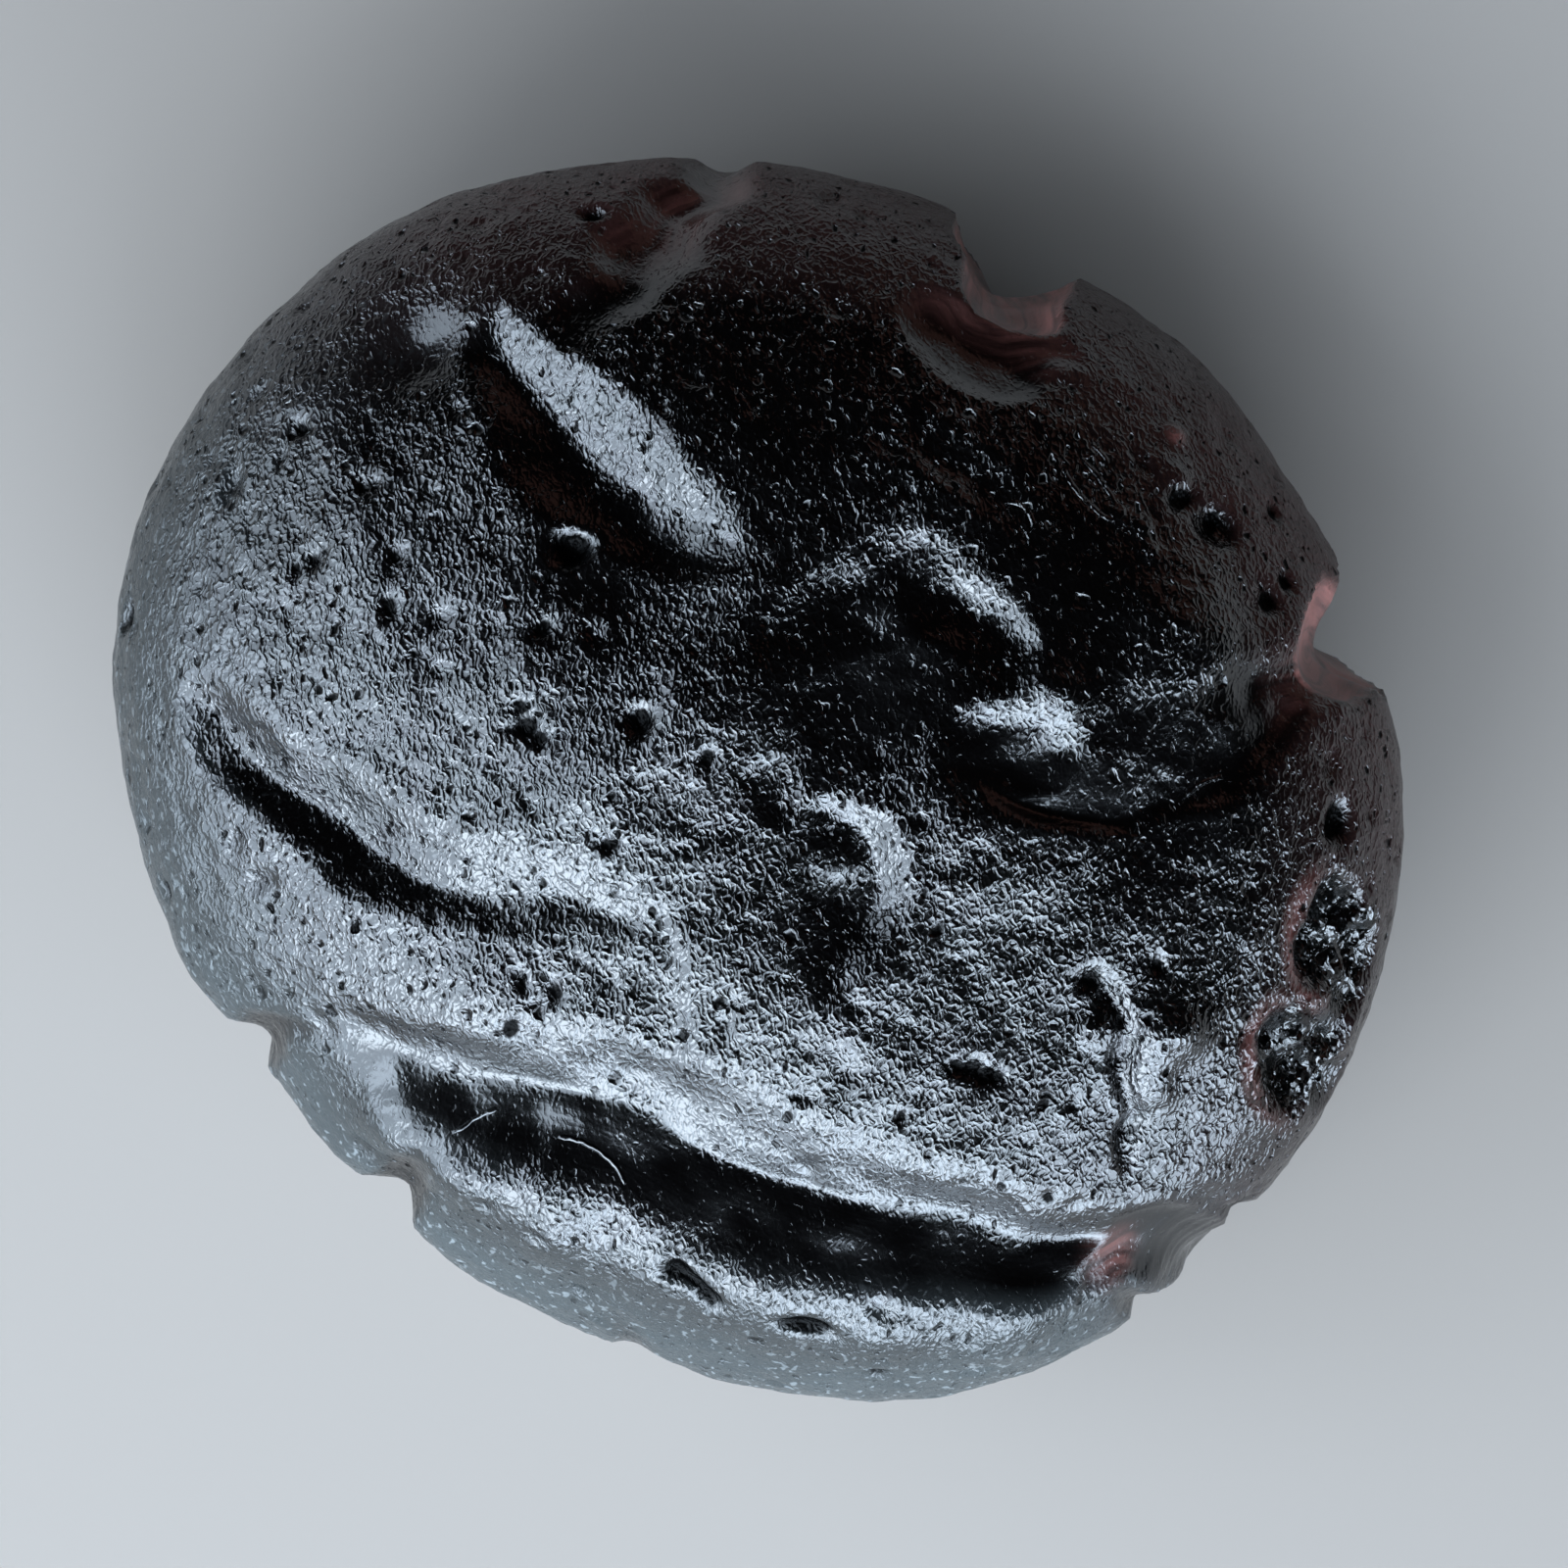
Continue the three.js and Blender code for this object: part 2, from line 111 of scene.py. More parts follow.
def blown_cube(along_edge):
    """Unit directions and outward quads of a cube of small square faces blown up to a ball."""
    steps = np.arange(along_edge + 1)
    across, up = np.meshgrid(steps, steps, indexing="ij")
    row = along_edge + 1
    quads = []
    for axis in range(3):
        for level in (0, along_edge):
            place = np.zeros((row, row, 3), int)
            place[..., axis] = level
            place[..., (axis + 1) % 3] = across
            place[..., (axis + 2) % 3] = up
            key = place @ np.array([1, row, row ** 2])
            quad = np.stack([key[:-1, :-1], key[1:, :-1], key[1:, 1:], key[:-1, 1:]], -1).reshape(-1, 4)
            quads.append(quad if level else quad[:, ::-1])
    keys, quads = np.unique(np.concatenate(quads), return_inverse=True)
    place = np.stack([keys % row, keys // row % row, keys // row ** 2], -1)
    cube = np.tan((place / along_edge * 2 - 1) * np.pi / 4)
    return cube / np.linalg.norm(cube, axis=1)[:, None], quads.reshape(-1, 4)


def evened(directions):
    """The directions moved up or down so that the faces come out even on the dome and larger on the belly."""
    turn = np.linspace(0, np.pi, 4001)
    profile = lump_point(np.stack([np.sin(turn), 0 * turn, np.cos(turn)], -1))
    reach, height = profile[:, 0], profile[:, 2]
    fineness = np.interp(height, [COARSE_FROM, FINE_DOWN_TO], [UNDER_FINENESS, 1])
    slant = np.hypot(np.diff(reach), np.diff(height))
    ring = slant * (reach[1:] + reach[:-1]) * (fineness[1:] + fineness[:-1])
    share = np.concatenate([[0], np.cumsum(ring)]) / ring.sum()
    x, y, z = directions.T
    new_turn = np.interp((1 - z) / 2, share, turn)
    widen = np.sin(new_turn) / np.maximum(np.hypot(x, y), 1e-9)
    return np.stack([x * widen, y * widen, np.cos(new_turn)], -1)


directions, quads = blown_cube(FACES_ALONG_EDGE)
lump = lump_point(evened(directions))
lump_out = lump_normal(lump)


# ---- Its grooves and notches -------------------------------------------------------------------------
# Ground water has etched flow lines and cracks of the glass into rounded gutters. Those that run off the dome
# bite notches into the rim, where the glass is thin enough to show brown. A gutter is given as its stations
# [x, y, half width, depth] along its floor, on the dome and then under it.

LIP_ROUNDING, CRISP_LIP = 1.5, 1.0  # exponents of a hollow's section: more has a wider, softer lip
BOWLS_PER_SPAN = 10  # round bowls laid along a gutter between two of its stations

# Besides its stations a gutter may have
#   square: exponent of its floor, 1 round, under 1 towards a V, over 1 towards a square
#   lean:   how much wider its right bank is than its left one, as a share of the half width
#   smooth: how free of etching it is
#   bank:   which bank of its run is the smooth one, 1 left, -1 right, 0 both
#   brown:  how brown it is where the glass is thin
#   crisp:  whether its lip is a sharp edge
#   hollow: how much painted black shade its inside gets, standing in for its shade
GUTTERS = [
    # the long gutter round the lower side, out to its bowl at the rim
    {"square": 0.65, "lean": 0.05, "smooth": 0.97, "bank": -1, TOP: [
        [-15.4, -8.4, 1.2, 0.15], [-13.8, -9.3, 2.0, 0.45], [-12.0, -10.3, 2.6, 0.8], [-9.7, -10.7, 3.0, 1.0],
        [-7.1, -11.1, 3.5, 1.1], [-4.4, -11.8, 3.6, 1.1], [-1.9, -13.3, 3.5, 1.1], [0.8, -14.5, 3.3, 1.1],
        [4.0, -15.4, 3.1, 1.05], [7.2, -16.2, 2.9, 1.0], [9.8, -16.7, 2.6, 0.95], [12.0, -16.7, 2.2, 0.9],
        [13.4, -16.7, 1.6, 0.4]]},
    {"smooth": 1, "bank": 0, TOP: [
        [12.9, -17.1, 1.7, 0.6], [14.6, -16.8, 2.0, 0.9], [16.8, -17.0, 1.9, 0.6]]},
    # the gutter on the left shoulder, tailing off to the middle
    {"square": 0.7, "lean": -0.2, "smooth": 0.35, "bank": -1, TOP: [
        [-20.8, 3.1, 1.0, 0.4], [-19.2, 1.5, 1.9, 0.9], [-17.5, 0.0, 2.2, 1.1], [-15.8, -1.1, 2.3, 1.2],
        [-14.2, -2.3, 2.2, 1.1], [-12.0, -3.2, 2.0, 0.7], [-9.6, -3.8, 1.8, 0.5], [-7.2, -4.2, 1.8, 0.4],
        [-5.0, -4.6, 1.5, 0.25]]},
    # the straight gutter high on the left
    {"square": 0.8, "lean": 0.1, "smooth": 0.6, "bank": -1, TOP: [
        [-9.7, 17.0, 1.0, 0.4], [-8.8, 15.3, 1.9, 0.9], [-7.5, 13.6, 2.5, 1.2], [-5.7, 11.8, 2.8, 1.3],
        [-3.8, 10.3, 2.6, 1.1], [-2.2, 9.4, 2.0, 0.6], [-1.0, 8.9, 1.3, 0.2]]},
    # the arched trough over the middle
    {"square": 0.8, "lean": 0.15, "smooth": 0.35, "bank": -1, TOP: [
        [0.6, 5.4, 1.4, 0.2], [2.2, 6.2, 1.9, 0.4], [3.8, 7.3, 2.1, 0.5], [5.4, 7.8, 2.0, 0.5],
        [7.0, 7.1, 1.8, 0.6], [8.3, 6.1, 1.7, 0.6], [9.2, 5.0, 1.5, 0.45], [9.5, 3.9, 1.1, 0.1]]},
    # the trough from the middle towards the right-hand notch, deepest along its lower side
    {"square": 0.8, "lean": -0.6, "smooth": 0.9, "bank": 0, TOP: [
        [7.6, 0.9, 1.4, 0.4], [9.6, -0.4, 2.0, 0.8], [12.0, -1.1, 1.8, 0.5], [14.0, -1.0, 1.6, 0.3],
        [16.0, -0.3, 1.6, 0.3], [18.0, 1.1, 1.8, 0.5], [19.6, 2.6, 1.9, 0.7]]},
    {"smooth": 0.2, "bank": 0, TOP: [[8.8, 1.3, 2.3, 0.7], [9.8, 1.1, 2.6, 0.9], [10.6, 0.9, 2.1, 0.6]]},
    # the right-hand notch, over the rim
    {"smooth": 0.6, "bank": 0, "brown": 0.15, TOP: [
        [17.0, 3.1, 1.6, 0.3], [18.6, 3.4, 1.9, 0.6], [20.2, 4.2, 1.7, 0.6]]},
    {"crisp": True, "smooth": 1, "bank": 0, "brown": 1, TOP: [
        [21.2, 5.2, 2.0, 1.5], [22.0, 5.6, 2.3, 1.9], [22.9, 6.0, 2.4, 2.1]],
     UNDER: [[21.2, 7.0, 2.3, 1.8], [18.0, 8.2, 2.1, 1.1], [13.6, 8.6, 1.5, 0.2]]},
    # the arched hollow below the middle
    {"square": 0.8, "lean": 0.3, "smooth": 0.35, "bank": -1, TOP: [
        [2.2, -1.6, 1.2, 0.1], [3.1, -1.3, 1.6, 0.35], [4.1, -2.2, 1.9, 0.7], [4.3, -3.6, 2.0, 0.75],
        [3.7, -5.2, 1.8, 0.5], [2.8, -6.8, 1.2, 0.15]]},
    # narrow creases
    {"smooth": 0.3, "bank": 0, TOP: [[0.9, 1.4, 0.8, 0.1], [0.9, 0.3, 1.1, 0.3], [1.0, -0.8, 0.8, 0.1]]},
    {"smooth": 0.3, "bank": 0, "lean": 0.3, TOP: [
        [-3.7, -4.6, 1.0, 0.1], [-3.2, -6.8, 1.3, 0.22], [-2.9, -9.0, 1.2, 0.22], [-3.1, -10.8, 0.9, 0.1]]},
    {"square": 0.8, "hollow": 0.55, TOP: [
        [13.0, -5.9, 0.4, 0.1], [13.0, -7.3, 0.7, 0.5], [13.2, -8.6, 0.5, 0.4], [13.2, -9.8, 0.7, 0.6],
        [13.5, -11.4, 0.5, 0.4], [13.5, -12.6, 0.55, 0.5], [13.6, -14.2, 0.4, 0.1]]},
    {"smooth": 0.2, "bank": 0, TOP: [[5.9, 12.9, 0.9, 0.2], [7.6, 11.4, 1.2, 0.35], [9.4, 9.8, 0.9, 0.1]]},
    # the upper right notch, cut deep into the rim, with a shallower scoop above it
    {"crisp": True, "smooth": 0.9, "bank": 0, "brown": 0.3, TOP: [
        [6.4, 17.2, 1.4, 0.3], [7.4, 16.2, 1.9, 0.65], [8.9, 15.7, 2.0, 0.6], [10.6, 15.9, 1.4, 0.25]]},
    {"crisp": True, "smooth": 1, "bank": 0, "brown": 1, TOP: [
        [9.4, 18.4, 2.2, 1.5], [9.6, 19.4, 2.5, 2.0], [9.8, 20.8, 2.6, 2.2]],
     UNDER: [[10.3, 19.0, 2.3, 1.8], [11.2, 16.2, 1.9, 1.0], [12.2, 12.8, 1.4, 0.2]]},
    # the shallow notch at the top
    {"smooth": 0.9, "bank": 0, "brown": 0.12, TOP: [
        [-7.4, 16.2, 1.1, 0.1], [-5.4, 18.0, 1.7, 0.4], [-4.0, 19.8, 2.1, 0.8], [-2.9, 21.4, 2.1, 1.0],
        [-1.6, 22.9, 1.7, 0.9]],
     UNDER: [[-0.8, 21.4, 1.6, 0.7], [0.4, 18.6, 1.4, 0.4], [1.6, 15.8, 1.1, 0.1]]},
    # the creases between the scallops of the lower left rim
    {"smooth": 0.4, "bank": 0, TOP: [
        [-15.8, -8.6, 0.9, 0.1], [-17.4, -9.0, 1.2, 0.4], [-19.4, -9.6, 1.5, 1.1]],
     UNDER: [[-17.2, -9.0, 1.5, 1.0], [-14.0, -8.6, 1.3, 0.3]]},
    {"smooth": 0.4, "bank": 0, TOP: [
        [-11.7, -12.6, 0.9, 0.1], [-12.6, -14.0, 1.3, 0.5], [-13.9, -15.4, 1.6, 1.3]],
     UNDER: [[-12.0, -13.8, 1.6, 1.1], [-9.6, -11.8, 1.4, 0.3]]},
    {"smooth": 0.2, "bank": 0, TOP: [[-4.9, -19.6, 1.0, 0.1], [-4.5, -21.6, 1.3, 0.4]],
     UNDER: [[-3.9, -19.0, 1.4, 0.5], [-2.0, -15.6, 1.1, 0.1]]},
    # the creases on either side of the bowl at the lower right
    {"smooth": 0.8, "bank": 0, TOP: [[15.8, -14.8, 0.8, 0.1], [18.2, -16.0, 1.1, 0.7]],
     UNDER: [[16.4, -14.6, 1.1, 0.3]]},
    {"smooth": 0.8, "bank": 0, TOP: [[13.4, -18.4, 0.8, 0.1], [14.8, -19.8, 1.1, 0.7]],
     UNDER: [[13.4, -17.6, 1.1, 0.3]]},
    # the underside
    {"smooth": 0.9, "bank": 0, UNDER: [
        [-19.0, 7.0, 1.6, 0.3], [-15.4, 9.6, 2.5, 1.1], [-11.0, 11.6, 2.7, 1.4], [-6.4, 12.6, 2.3, 0.9],
        [-3.0, 12.4, 1.5, 0.2]]},
    {"smooth": 0.9, "bank": 0, UNDER: [
        [4.2, -19.4, 1.6, 0.3], [7.6, -16.4, 2.4, 1.0], [11.8, -12.0, 2.7, 1.3], [15.4, -7.6, 2.4, 1.0],
        [17.6, -3.4, 1.7, 0.2]]},
    {"smooth": 0.7, "bank": 0, UNDER: [
        [-18.8, -2.4, 1.6, 0.3], [-15.2, -3.8, 2.3, 0.9], [-11.2, -4.2, 1.9, 0.5], [-8.6, -3.4, 1.3, 0.1]]},
    # nicks and long pits
    {"hollow": 1, TOP: [[7.3, -10.2, 0.55, 0.4], [8.7, -10.6, 0.6, 0.45]]},
    {"hollow": 1, TOP: [[-3.5, -17.0, 0.3, 0.2], [-2.8, -17.0, 0.6, 0.45], [-2.1, -17.3, 0.4, 0.35],
                        [-1.6, -17.9, 0.55, 0.5]]},
    {"hollow": 1, TOP: [[0.8, -18.9, 0.3, 0.2], [1.5, -19.1, 0.5, 0.45], [2.3, -19.3, 0.4, 0.4],
                        [2.9, -19.7, 0.35, 0.2]]},
    {"hollow": 1, TOP: [[16.6, 9.0, 0.35, 0.4], [16.7, 9.9, 0.4, 0.5]]},
    {"hollow": 1, TOP: [[-7.6, -3.6, 0.5, 0.2], [-6.6, -4.6, 0.5, 0.25]]},
    {"hollow": 1, TOP: [[1.0, -11.3, 0.3, 0.25], [1.7, -11.5, 0.3, 0.2]]},
    {"hollow": 1, TOP: [[-15.7, 0.3, 0.3, 0.25], [-15.0, -0.3, 0.3, 0.2]]},
    {"hollow": 1, TOP: [[7.5, -2.0, 0.3, 0.25], [8.1, -2.5, 0.3, 0.2]]},
]
COVER_SLOPE, CRISP_COVER_SLOPE = 1.6, 6  # how steeply its smoothness and brown set in from a gutter's lip
FULL_COVER_DEPTH = 0.5  # of a gutter that has all of them
BANK_SLOPE, OFF_BANK = 2.5, 0.35  # how steeply the smooth bank sets in, and the share on the other one
BROWN_HEIGHTS = -5.5, -0.5, 5.2, 7.5
BROWN_SHARES = 0.1, 1, 1, 0  # how brown the thin glass is at each of them


def stations_on_lump(rows, side):
    """Rows of [x, y, half width, depth] as [x, y, z, half width, depth] on the smooth lump."""
    rows = np.array(rows, float).reshape(-1, 4)
    return np.hstack([on_lump(rows[:, 0], rows[:, 1], side), rows[:, 2:]])


def gutter_bowls(gutter):
    """A gutter as a chain of round bowls [x, y, z, radius, depth]."""
    stations = np.vstack([stations_on_lump(gutter.get(side, []), side) for side in (TOP, UNDER)])
    ends = np.vstack([stations[:1], stations, stations[-1:]])
    share = np.linspace(0, 1, BOWLS_PER_SPAN + 1)[:, None]
    return np.vstack([spline(*ends[span:span + 4], share) for span in range(len(stations) - 1)])


# the skin is led astray a little before its distance from a gutter or pit is taken, so that no lip is regular
WOBBLES = 12
WOBBLE_LENGTH = 1.6, 5.0  # shortest and longest
WOBBLE = 0.065

chance = np.random.default_rng(5)
wobbled = lump.copy()
for _ in range(WOBBLES):
    way = chance.normal(size=3)
    way *= 2 * np.pi / chance.uniform(*WOBBLE_LENGTH) / np.linalg.norm(way)
    wobbled += WOBBLE * chance.normal(size=3) * np.sin(lump @ way + chance.uniform(0, 2 * np.pi))[:, None]

depth_below = np.zeros(len(lump))  # of the deepest gutter or pit at each point of the skin
smooth = np.zeros(len(lump))
brown = np.zeros(len(lump))
# painted shade: where gutters and pits are painted black inside, standing in for their shade
hollow = np.zeros(len(lump))
along_flow = np.zeros((len(lump), 3))  # millimetres along and across the gutter that a point lies in
thin = np.interp(lump[:, 2], BROWN_HEIGHTS, BROWN_SHARES)
for gutter in GUTTERS:
    square, lean, bank = gutter.get("square", 1), gutter.get("lean", 0), gutter.get("bank", 0)
    crisp = "crisp" in gutter
    lip, slope = (CRISP_LIP, CRISP_COVER_SLOPE) if crisp else (LIP_ROUNDING, COVER_SLOPE)
    bowls = gutter_bowls(gutter)
    centres = bowls[:, :3]
    heading = np.gradient(centres, axis=0)
    heading /= np.maximum(np.linalg.norm(heading, axis=1), 1e-9)[:, None]
    leftward = np.cross(lump_normal(centres), heading)
    run = np.concatenate([[0], np.cumsum(np.linalg.norm(np.diff(centres, axis=0), axis=1))])
    for number, (x, y, z, radius, depth) in enumerate(bowls):
        near = np.flatnonzero(np.abs(wobbled - [x, y, z]).max(axis=1) < radius * (1 + abs(lean)))
        offset = wobbled[near] - [x, y, z]
        aside = offset @ leftward[number]
        reach = radius * (1 - lean * np.sign(aside))
        share = ((offset ** 2).sum(axis=1) - aside ** 2) / radius ** 2 + (aside / reach) ** 2
        inside = np.maximum(0, 1 - share)
        bowl_depth = depth * (1 - np.minimum(share, 1) ** square) ** lip
        chosen = bowl_depth > depth_below[near]
        deeper = near[chosen]
        depth_below[deeper] = bowl_depth[chosen]
        ahead = run[number] + offset[chosen] @ heading[number]
        from_end = np.hypot(np.minimum(0, ahead), aside[chosen]) if crisp else aside[chosen]
        along_flow[deeper] = np.stack([ahead, from_end, 0 * ahead], -1)
        cover = np.clip(depth / FULL_COVER_DEPTH, 0, 1) * np.minimum(1, inside * slope)
        on_bank = np.clip(0.5 + BANK_SLOPE * bank * aside / radius, OFF_BANK, 1) if bank else 1
        smooth[near] = np.maximum(smooth[near], gutter.get("smooth", 0) * cover * on_bank)
        brown[near] = np.maximum(brown[near], gutter.get("brown", 0) * cover * thin[near])
        hollow[near] = np.maximum(hollow[near], gutter.get("hollow", 0) * cover)


# ---- Its pits, beads and swellings -------------------------------------------------------------------
# Burst gas bubbles and etched grains have left single round pits, and beads of harder glass stand proud. On
# the right the rim has been knocked: two pits there are broken out in many small sharp-edged bites. Most of
# the rim gets painted shade and painted sheen: dull on the upper right, grey on the lower left.

PITS = {  # [x, y, radius, depth]
    TOP: [
        # the two broken pits on the right rim, each of several bites
        [21.4, -4.3, 1.6, 1.0], [20.9, -6.1, 1.7, 1.2], [22.4, -6.0, 1.5, 0.9], [21.8, -7.6, 1.3, 0.7],
        [19.3, -9.0, 1.4, 0.9], [20.0, -10.6, 1.7, 1.1], [20.9, -9.2, 1.4, 0.8], [21.2, -10.8, 1.2, 0.6],
        # chips along the right rim
        [21.3, -1.3, 0.9, 0.6], [18.4, 6.9, 0.8, 0.4], [16.7, 9.4, 1.1, 0.6], [15.5, 10.5, 0.8, 0.3],
        # single pits
        [-6.8, 8.6, 1.0, 0.8], [-4.2, 2.3, 0.6, 0.5], [-8.2, 2.3, 0.7, 0.4], [-16.3, 8.2, 0.6, 0.4],
        [-5.7, 21.3, 0.6, 0.5], [-14.2, -13.4, 1.15, 0.25], [12.3, -6.7, 0.8, 0.5],
        [18.9, 10.4, 0.5, 0.3], [19.3, 7.6, 0.5, 0.3], [18.0, 7.5, 0.4, 0.3],
        [18.5, 6.7, 0.4, 0.3], [5.3, -12.2, 0.4, 0.25], [10.7, -15.0, 0.45, 0.3],
        [4.2, -21.3, 0.45, 0.25], [-17.0, 13.2, 0.6, 0.4], [-13.2, 6.6, 0.5, 0.3], [-13.0, 8.5, 0.5, 0.3],
        [-12.3, 5.2, 0.45, 0.25], [-16.9, 7.9, 0.45, 0.3], [-15.8, 8.6, 0.4, 0.25], [-7.7, 6.0, 0.5, 0.3],
        [-7.5, 7.5, 0.45, 0.3], [-8.5, 3.0, 0.5, 0.3], [-7.6, 1.9, 0.5, 0.3], [-8.9, 2.0, 0.4, 0.25],
        [-1.5, 1.2, 0.5, 0.3], [-11.9, -4.5, 0.5, 0.25], [-8.6, -6.8, 0.5, 0.3], [-7.4, -7.2, 0.45, 0.3],
        [-8.7, -8.6, 0.5, 0.25], [-23.3, 6.3, 0.7, 0.4], [-21.9, -3.6, 0.7, 0.4], [-5.2, -2.0, 0.5, 0.3],
        [14.6, -6.4, 0.5, 0.35], [12.4, -6.8, 0.5, 0.4], [8.3, -10.9, 0.4, 0.3],
    ],
    UNDER: [
        [6.8, 9.6, 2.0, 0.8], [17.4, 1.8, 1.6, 0.7], [-12.6, 3.6, 1.7, 0.7], [-6.0, -16.6, 1.6, 0.7],
        [14.2, 14.6, 1.5, 0.7], [-16.8, 14.0, 1.8, 0.8], [3.4, -12.6, 1.5, 0.5], [9.8, -6.2, 1.4, 0.6],
        [-1.0, 16.6, 1.4, 0.6], [19.6, -6.4, 1.6, 0.7], [-13.6, -10.4, 1.4, 0.6],
    ],
}
SHADED_PITS_UP_TO = 1.1  # pits smaller than this get painted black shade inside
BROKEN_PITS = [[21.3, -5.5, 1.5, 2.2], [19.9, -9.9, 1.6, 2.0]]  # [x, y, half width, half length]
BITES_PER_PIT = 26
BITE_RADIUS = 0.45, 0.95  # smallest and largest
BITE_DEPTH = 0.14  # as a share of its radius
BITE_SPREAD = 0.8  # share of a broken pit's area that its bites are dropped in
BITE_LIP_SLOPE, BITE_FLOOR_RISE = 1.5, 0.5
BROKEN_EDGE, BROKEN_EDGE_WIDTH, BROKEN_EDGE_BROWN = 1.15, 0.35, 0.25  # the thin left edge of a broken pit

LUMPS = {  # [x, y, radius, height], a broad hollow having a negative height
    TOP: [
        # beads beside the crease, and hard grains that stand proud
        [14.5, -9.0, 1.1, 0.5], [15.7, -8.8, 1.0, 0.4], [14.5, -10.9, 0.9, 0.35],
        [13.0, 9.9, 0.35, 0.22], [13.8, 9.5, 0.4, 0.25], [14.1, 8.5, 0.35, 0.2],
        [15.2, 12.9, 0.4, 0.25], [15.2, 11.3, 0.6, 0.3], [12.2, -8.7, 0.5, 0.35],
        [-12.5, 16.3, 2.1, -0.7],  # the hollow beside the straight gutter
        [7.0, 5.0, 11.0, 0.7],  # the high side of the dome
        [-2.1, 2.4, 2.9, 0.7],  # the brow to the left of its middle
        [4.4, 3.8, 3.8, -0.7],  # the floor within the arched trough
        [2.8, -4.2, 2.4, -0.4],  # the floor of the hollow below it
        [-4.4, 7.9, 2.2, -0.4],  # the low ground at the foot of the straight gutter
        [-6.4, 6.2, 2.2, 0.35],
        [-1.2, 12.9, 3.4, 0.4],  # the far shoulder of the straight gutter
        [-6.2, -0.7, 3.0, 0.2],  # between the left gutter and the middle
        [-8.4, 3.9, 1.8, 0.3],
        [15.4, 5.6, 2.3, 0.8],  # the swollen lip of the right-hand gutter
        [10.6, 3.6, 1.5, 0.3],
        [6.2, 11.6, 2.2, 0.3],  # the brow over the alcove
        [-9.4, -8.4, 2.4, 0.3],  # the lip of the long gutter
        [22.0, 8.6, 1.6, 0.1],  # the horn above the right-hand notch
        # the low lip of the long gutter
        [-13.0, -12.2, 1.9, 0.95], [-10.5, -13.8, 1.9, 1.05], [-7.4, -15.6, 2.1, 1.0],
        [-3.6, -17.3, 2.2, 0.8], [0.4, -18.6, 2.3, 0.8], [4.6, -19.4, 2.4, 0.85], [9.0, -19.4, 2.3, 0.85],
        [-20.8, -6.4, 2.2, 0.3], [-16.0, -12.6, 2.2, 0.3], [-11.6, -16.6, 2.2, 0.2],  # scallops
    ],
    UNDER: [
        [-7.6, 15.8, 3.6, 0.4], [10.2, 3.2, 3.6, 0.3], [-6.0, -9.6, 3.4, 0.3], [16.0, -12.6, 3.2, 0.4],
    ],
}
CALM = [  # [x, y, radius, share] of places on the dome with less etching
    [4.8, 4.6, 3.6, 0.7], [11.0, 7.0, 3.2, 0.6], [-6.0, 8.6, 2.4, 0.6], [15.0, 1.0, 3.4, 0.6],
    [0.5, 14.0, 4.5, 0.4], [-12.5, 16.4, 1.9, 0.9], [3.2, -3.6, 1.8, 0.5], [-21.0, -6.5, 2.0, 0.6],
    [-15.6, -12.4, 1.8, 0.6],
]
BROWN_SPOTS = [  # [x, y, radius, share] of thin places within the glass
    [13.3, -17.4, 1.2, 0.22], [15.2, 12.9, 0.45, 0.35],
]
# painted shade and sheen on the rim: dull shade towards the upper right, grey sheen towards the lower left
RIM_PAINT_BEARINGS = 0, 15, 100, 125, 150, 175, 225, 300, 325, 345, 360  # degrees round from +X
RIM_PAINT_SHARES = 0.5, 0.9, 0.9, 0.3, 0.3, 0.5, 0.8, 0.8, 0.2, 0.2, 0.5  # share of painted shade and sheen on the rim at each
RIM_PAINT_HEIGHTS = -9.0, -4.0, 4.0, 8.0
RIM_PAINT_HEIGHT_SHARES = 0, 1, 1, 0  # share of the rim's painted shade and sheen at each of them
RIM_PAINT_FREE_DEPTH = 0.4  # a gutter or pit this deep has none
# the slow swell over the whole skin: each entry is two sine waves multiplied, as its height and then for both
# waves how many there are in SWELL_LENGTH along x, y and z, and their phase
SWELL = [
    [0.14, [1, 0, 0, 1.1], [0, 1, 0.6, 2.0]],
    [0.06, [2, -1, 0, 0.6], [0, 2, 1.5, 0]],
]
SWELL_LENGTH = 14.0


def inside_ball(points, place, radius):
    """How far inside a ball each point is: 1 in its middle, 0 at its skin and beyond."""
    return np.maximum(0, 1 - ((points - place) ** 2).sum(axis=1) / radius ** 2)


def patch(x, y, radius):
    """The share, 0 to 1, of a flat-topped patch on the dome at each point of the skin."""
    return np.exp(-(((lump - on_lump(x, y, TOP)) ** 2).sum(axis=1) / radius ** 2) ** 2)


for side, round_pits in PITS.items():
    for x, y, z, radius, depth in stations_on_lump(round_pits, side):
        inside = inside_ball(wobbled, [x, y, z], radius)
        depth_below = np.maximum(depth_below, depth * inside ** LIP_ROUNDING)
        # painted shade: small pits are marked to be painted black inside
        if radius < SHADED_PITS_UP_TO:
            hollow = np.maximum(hollow, inside)

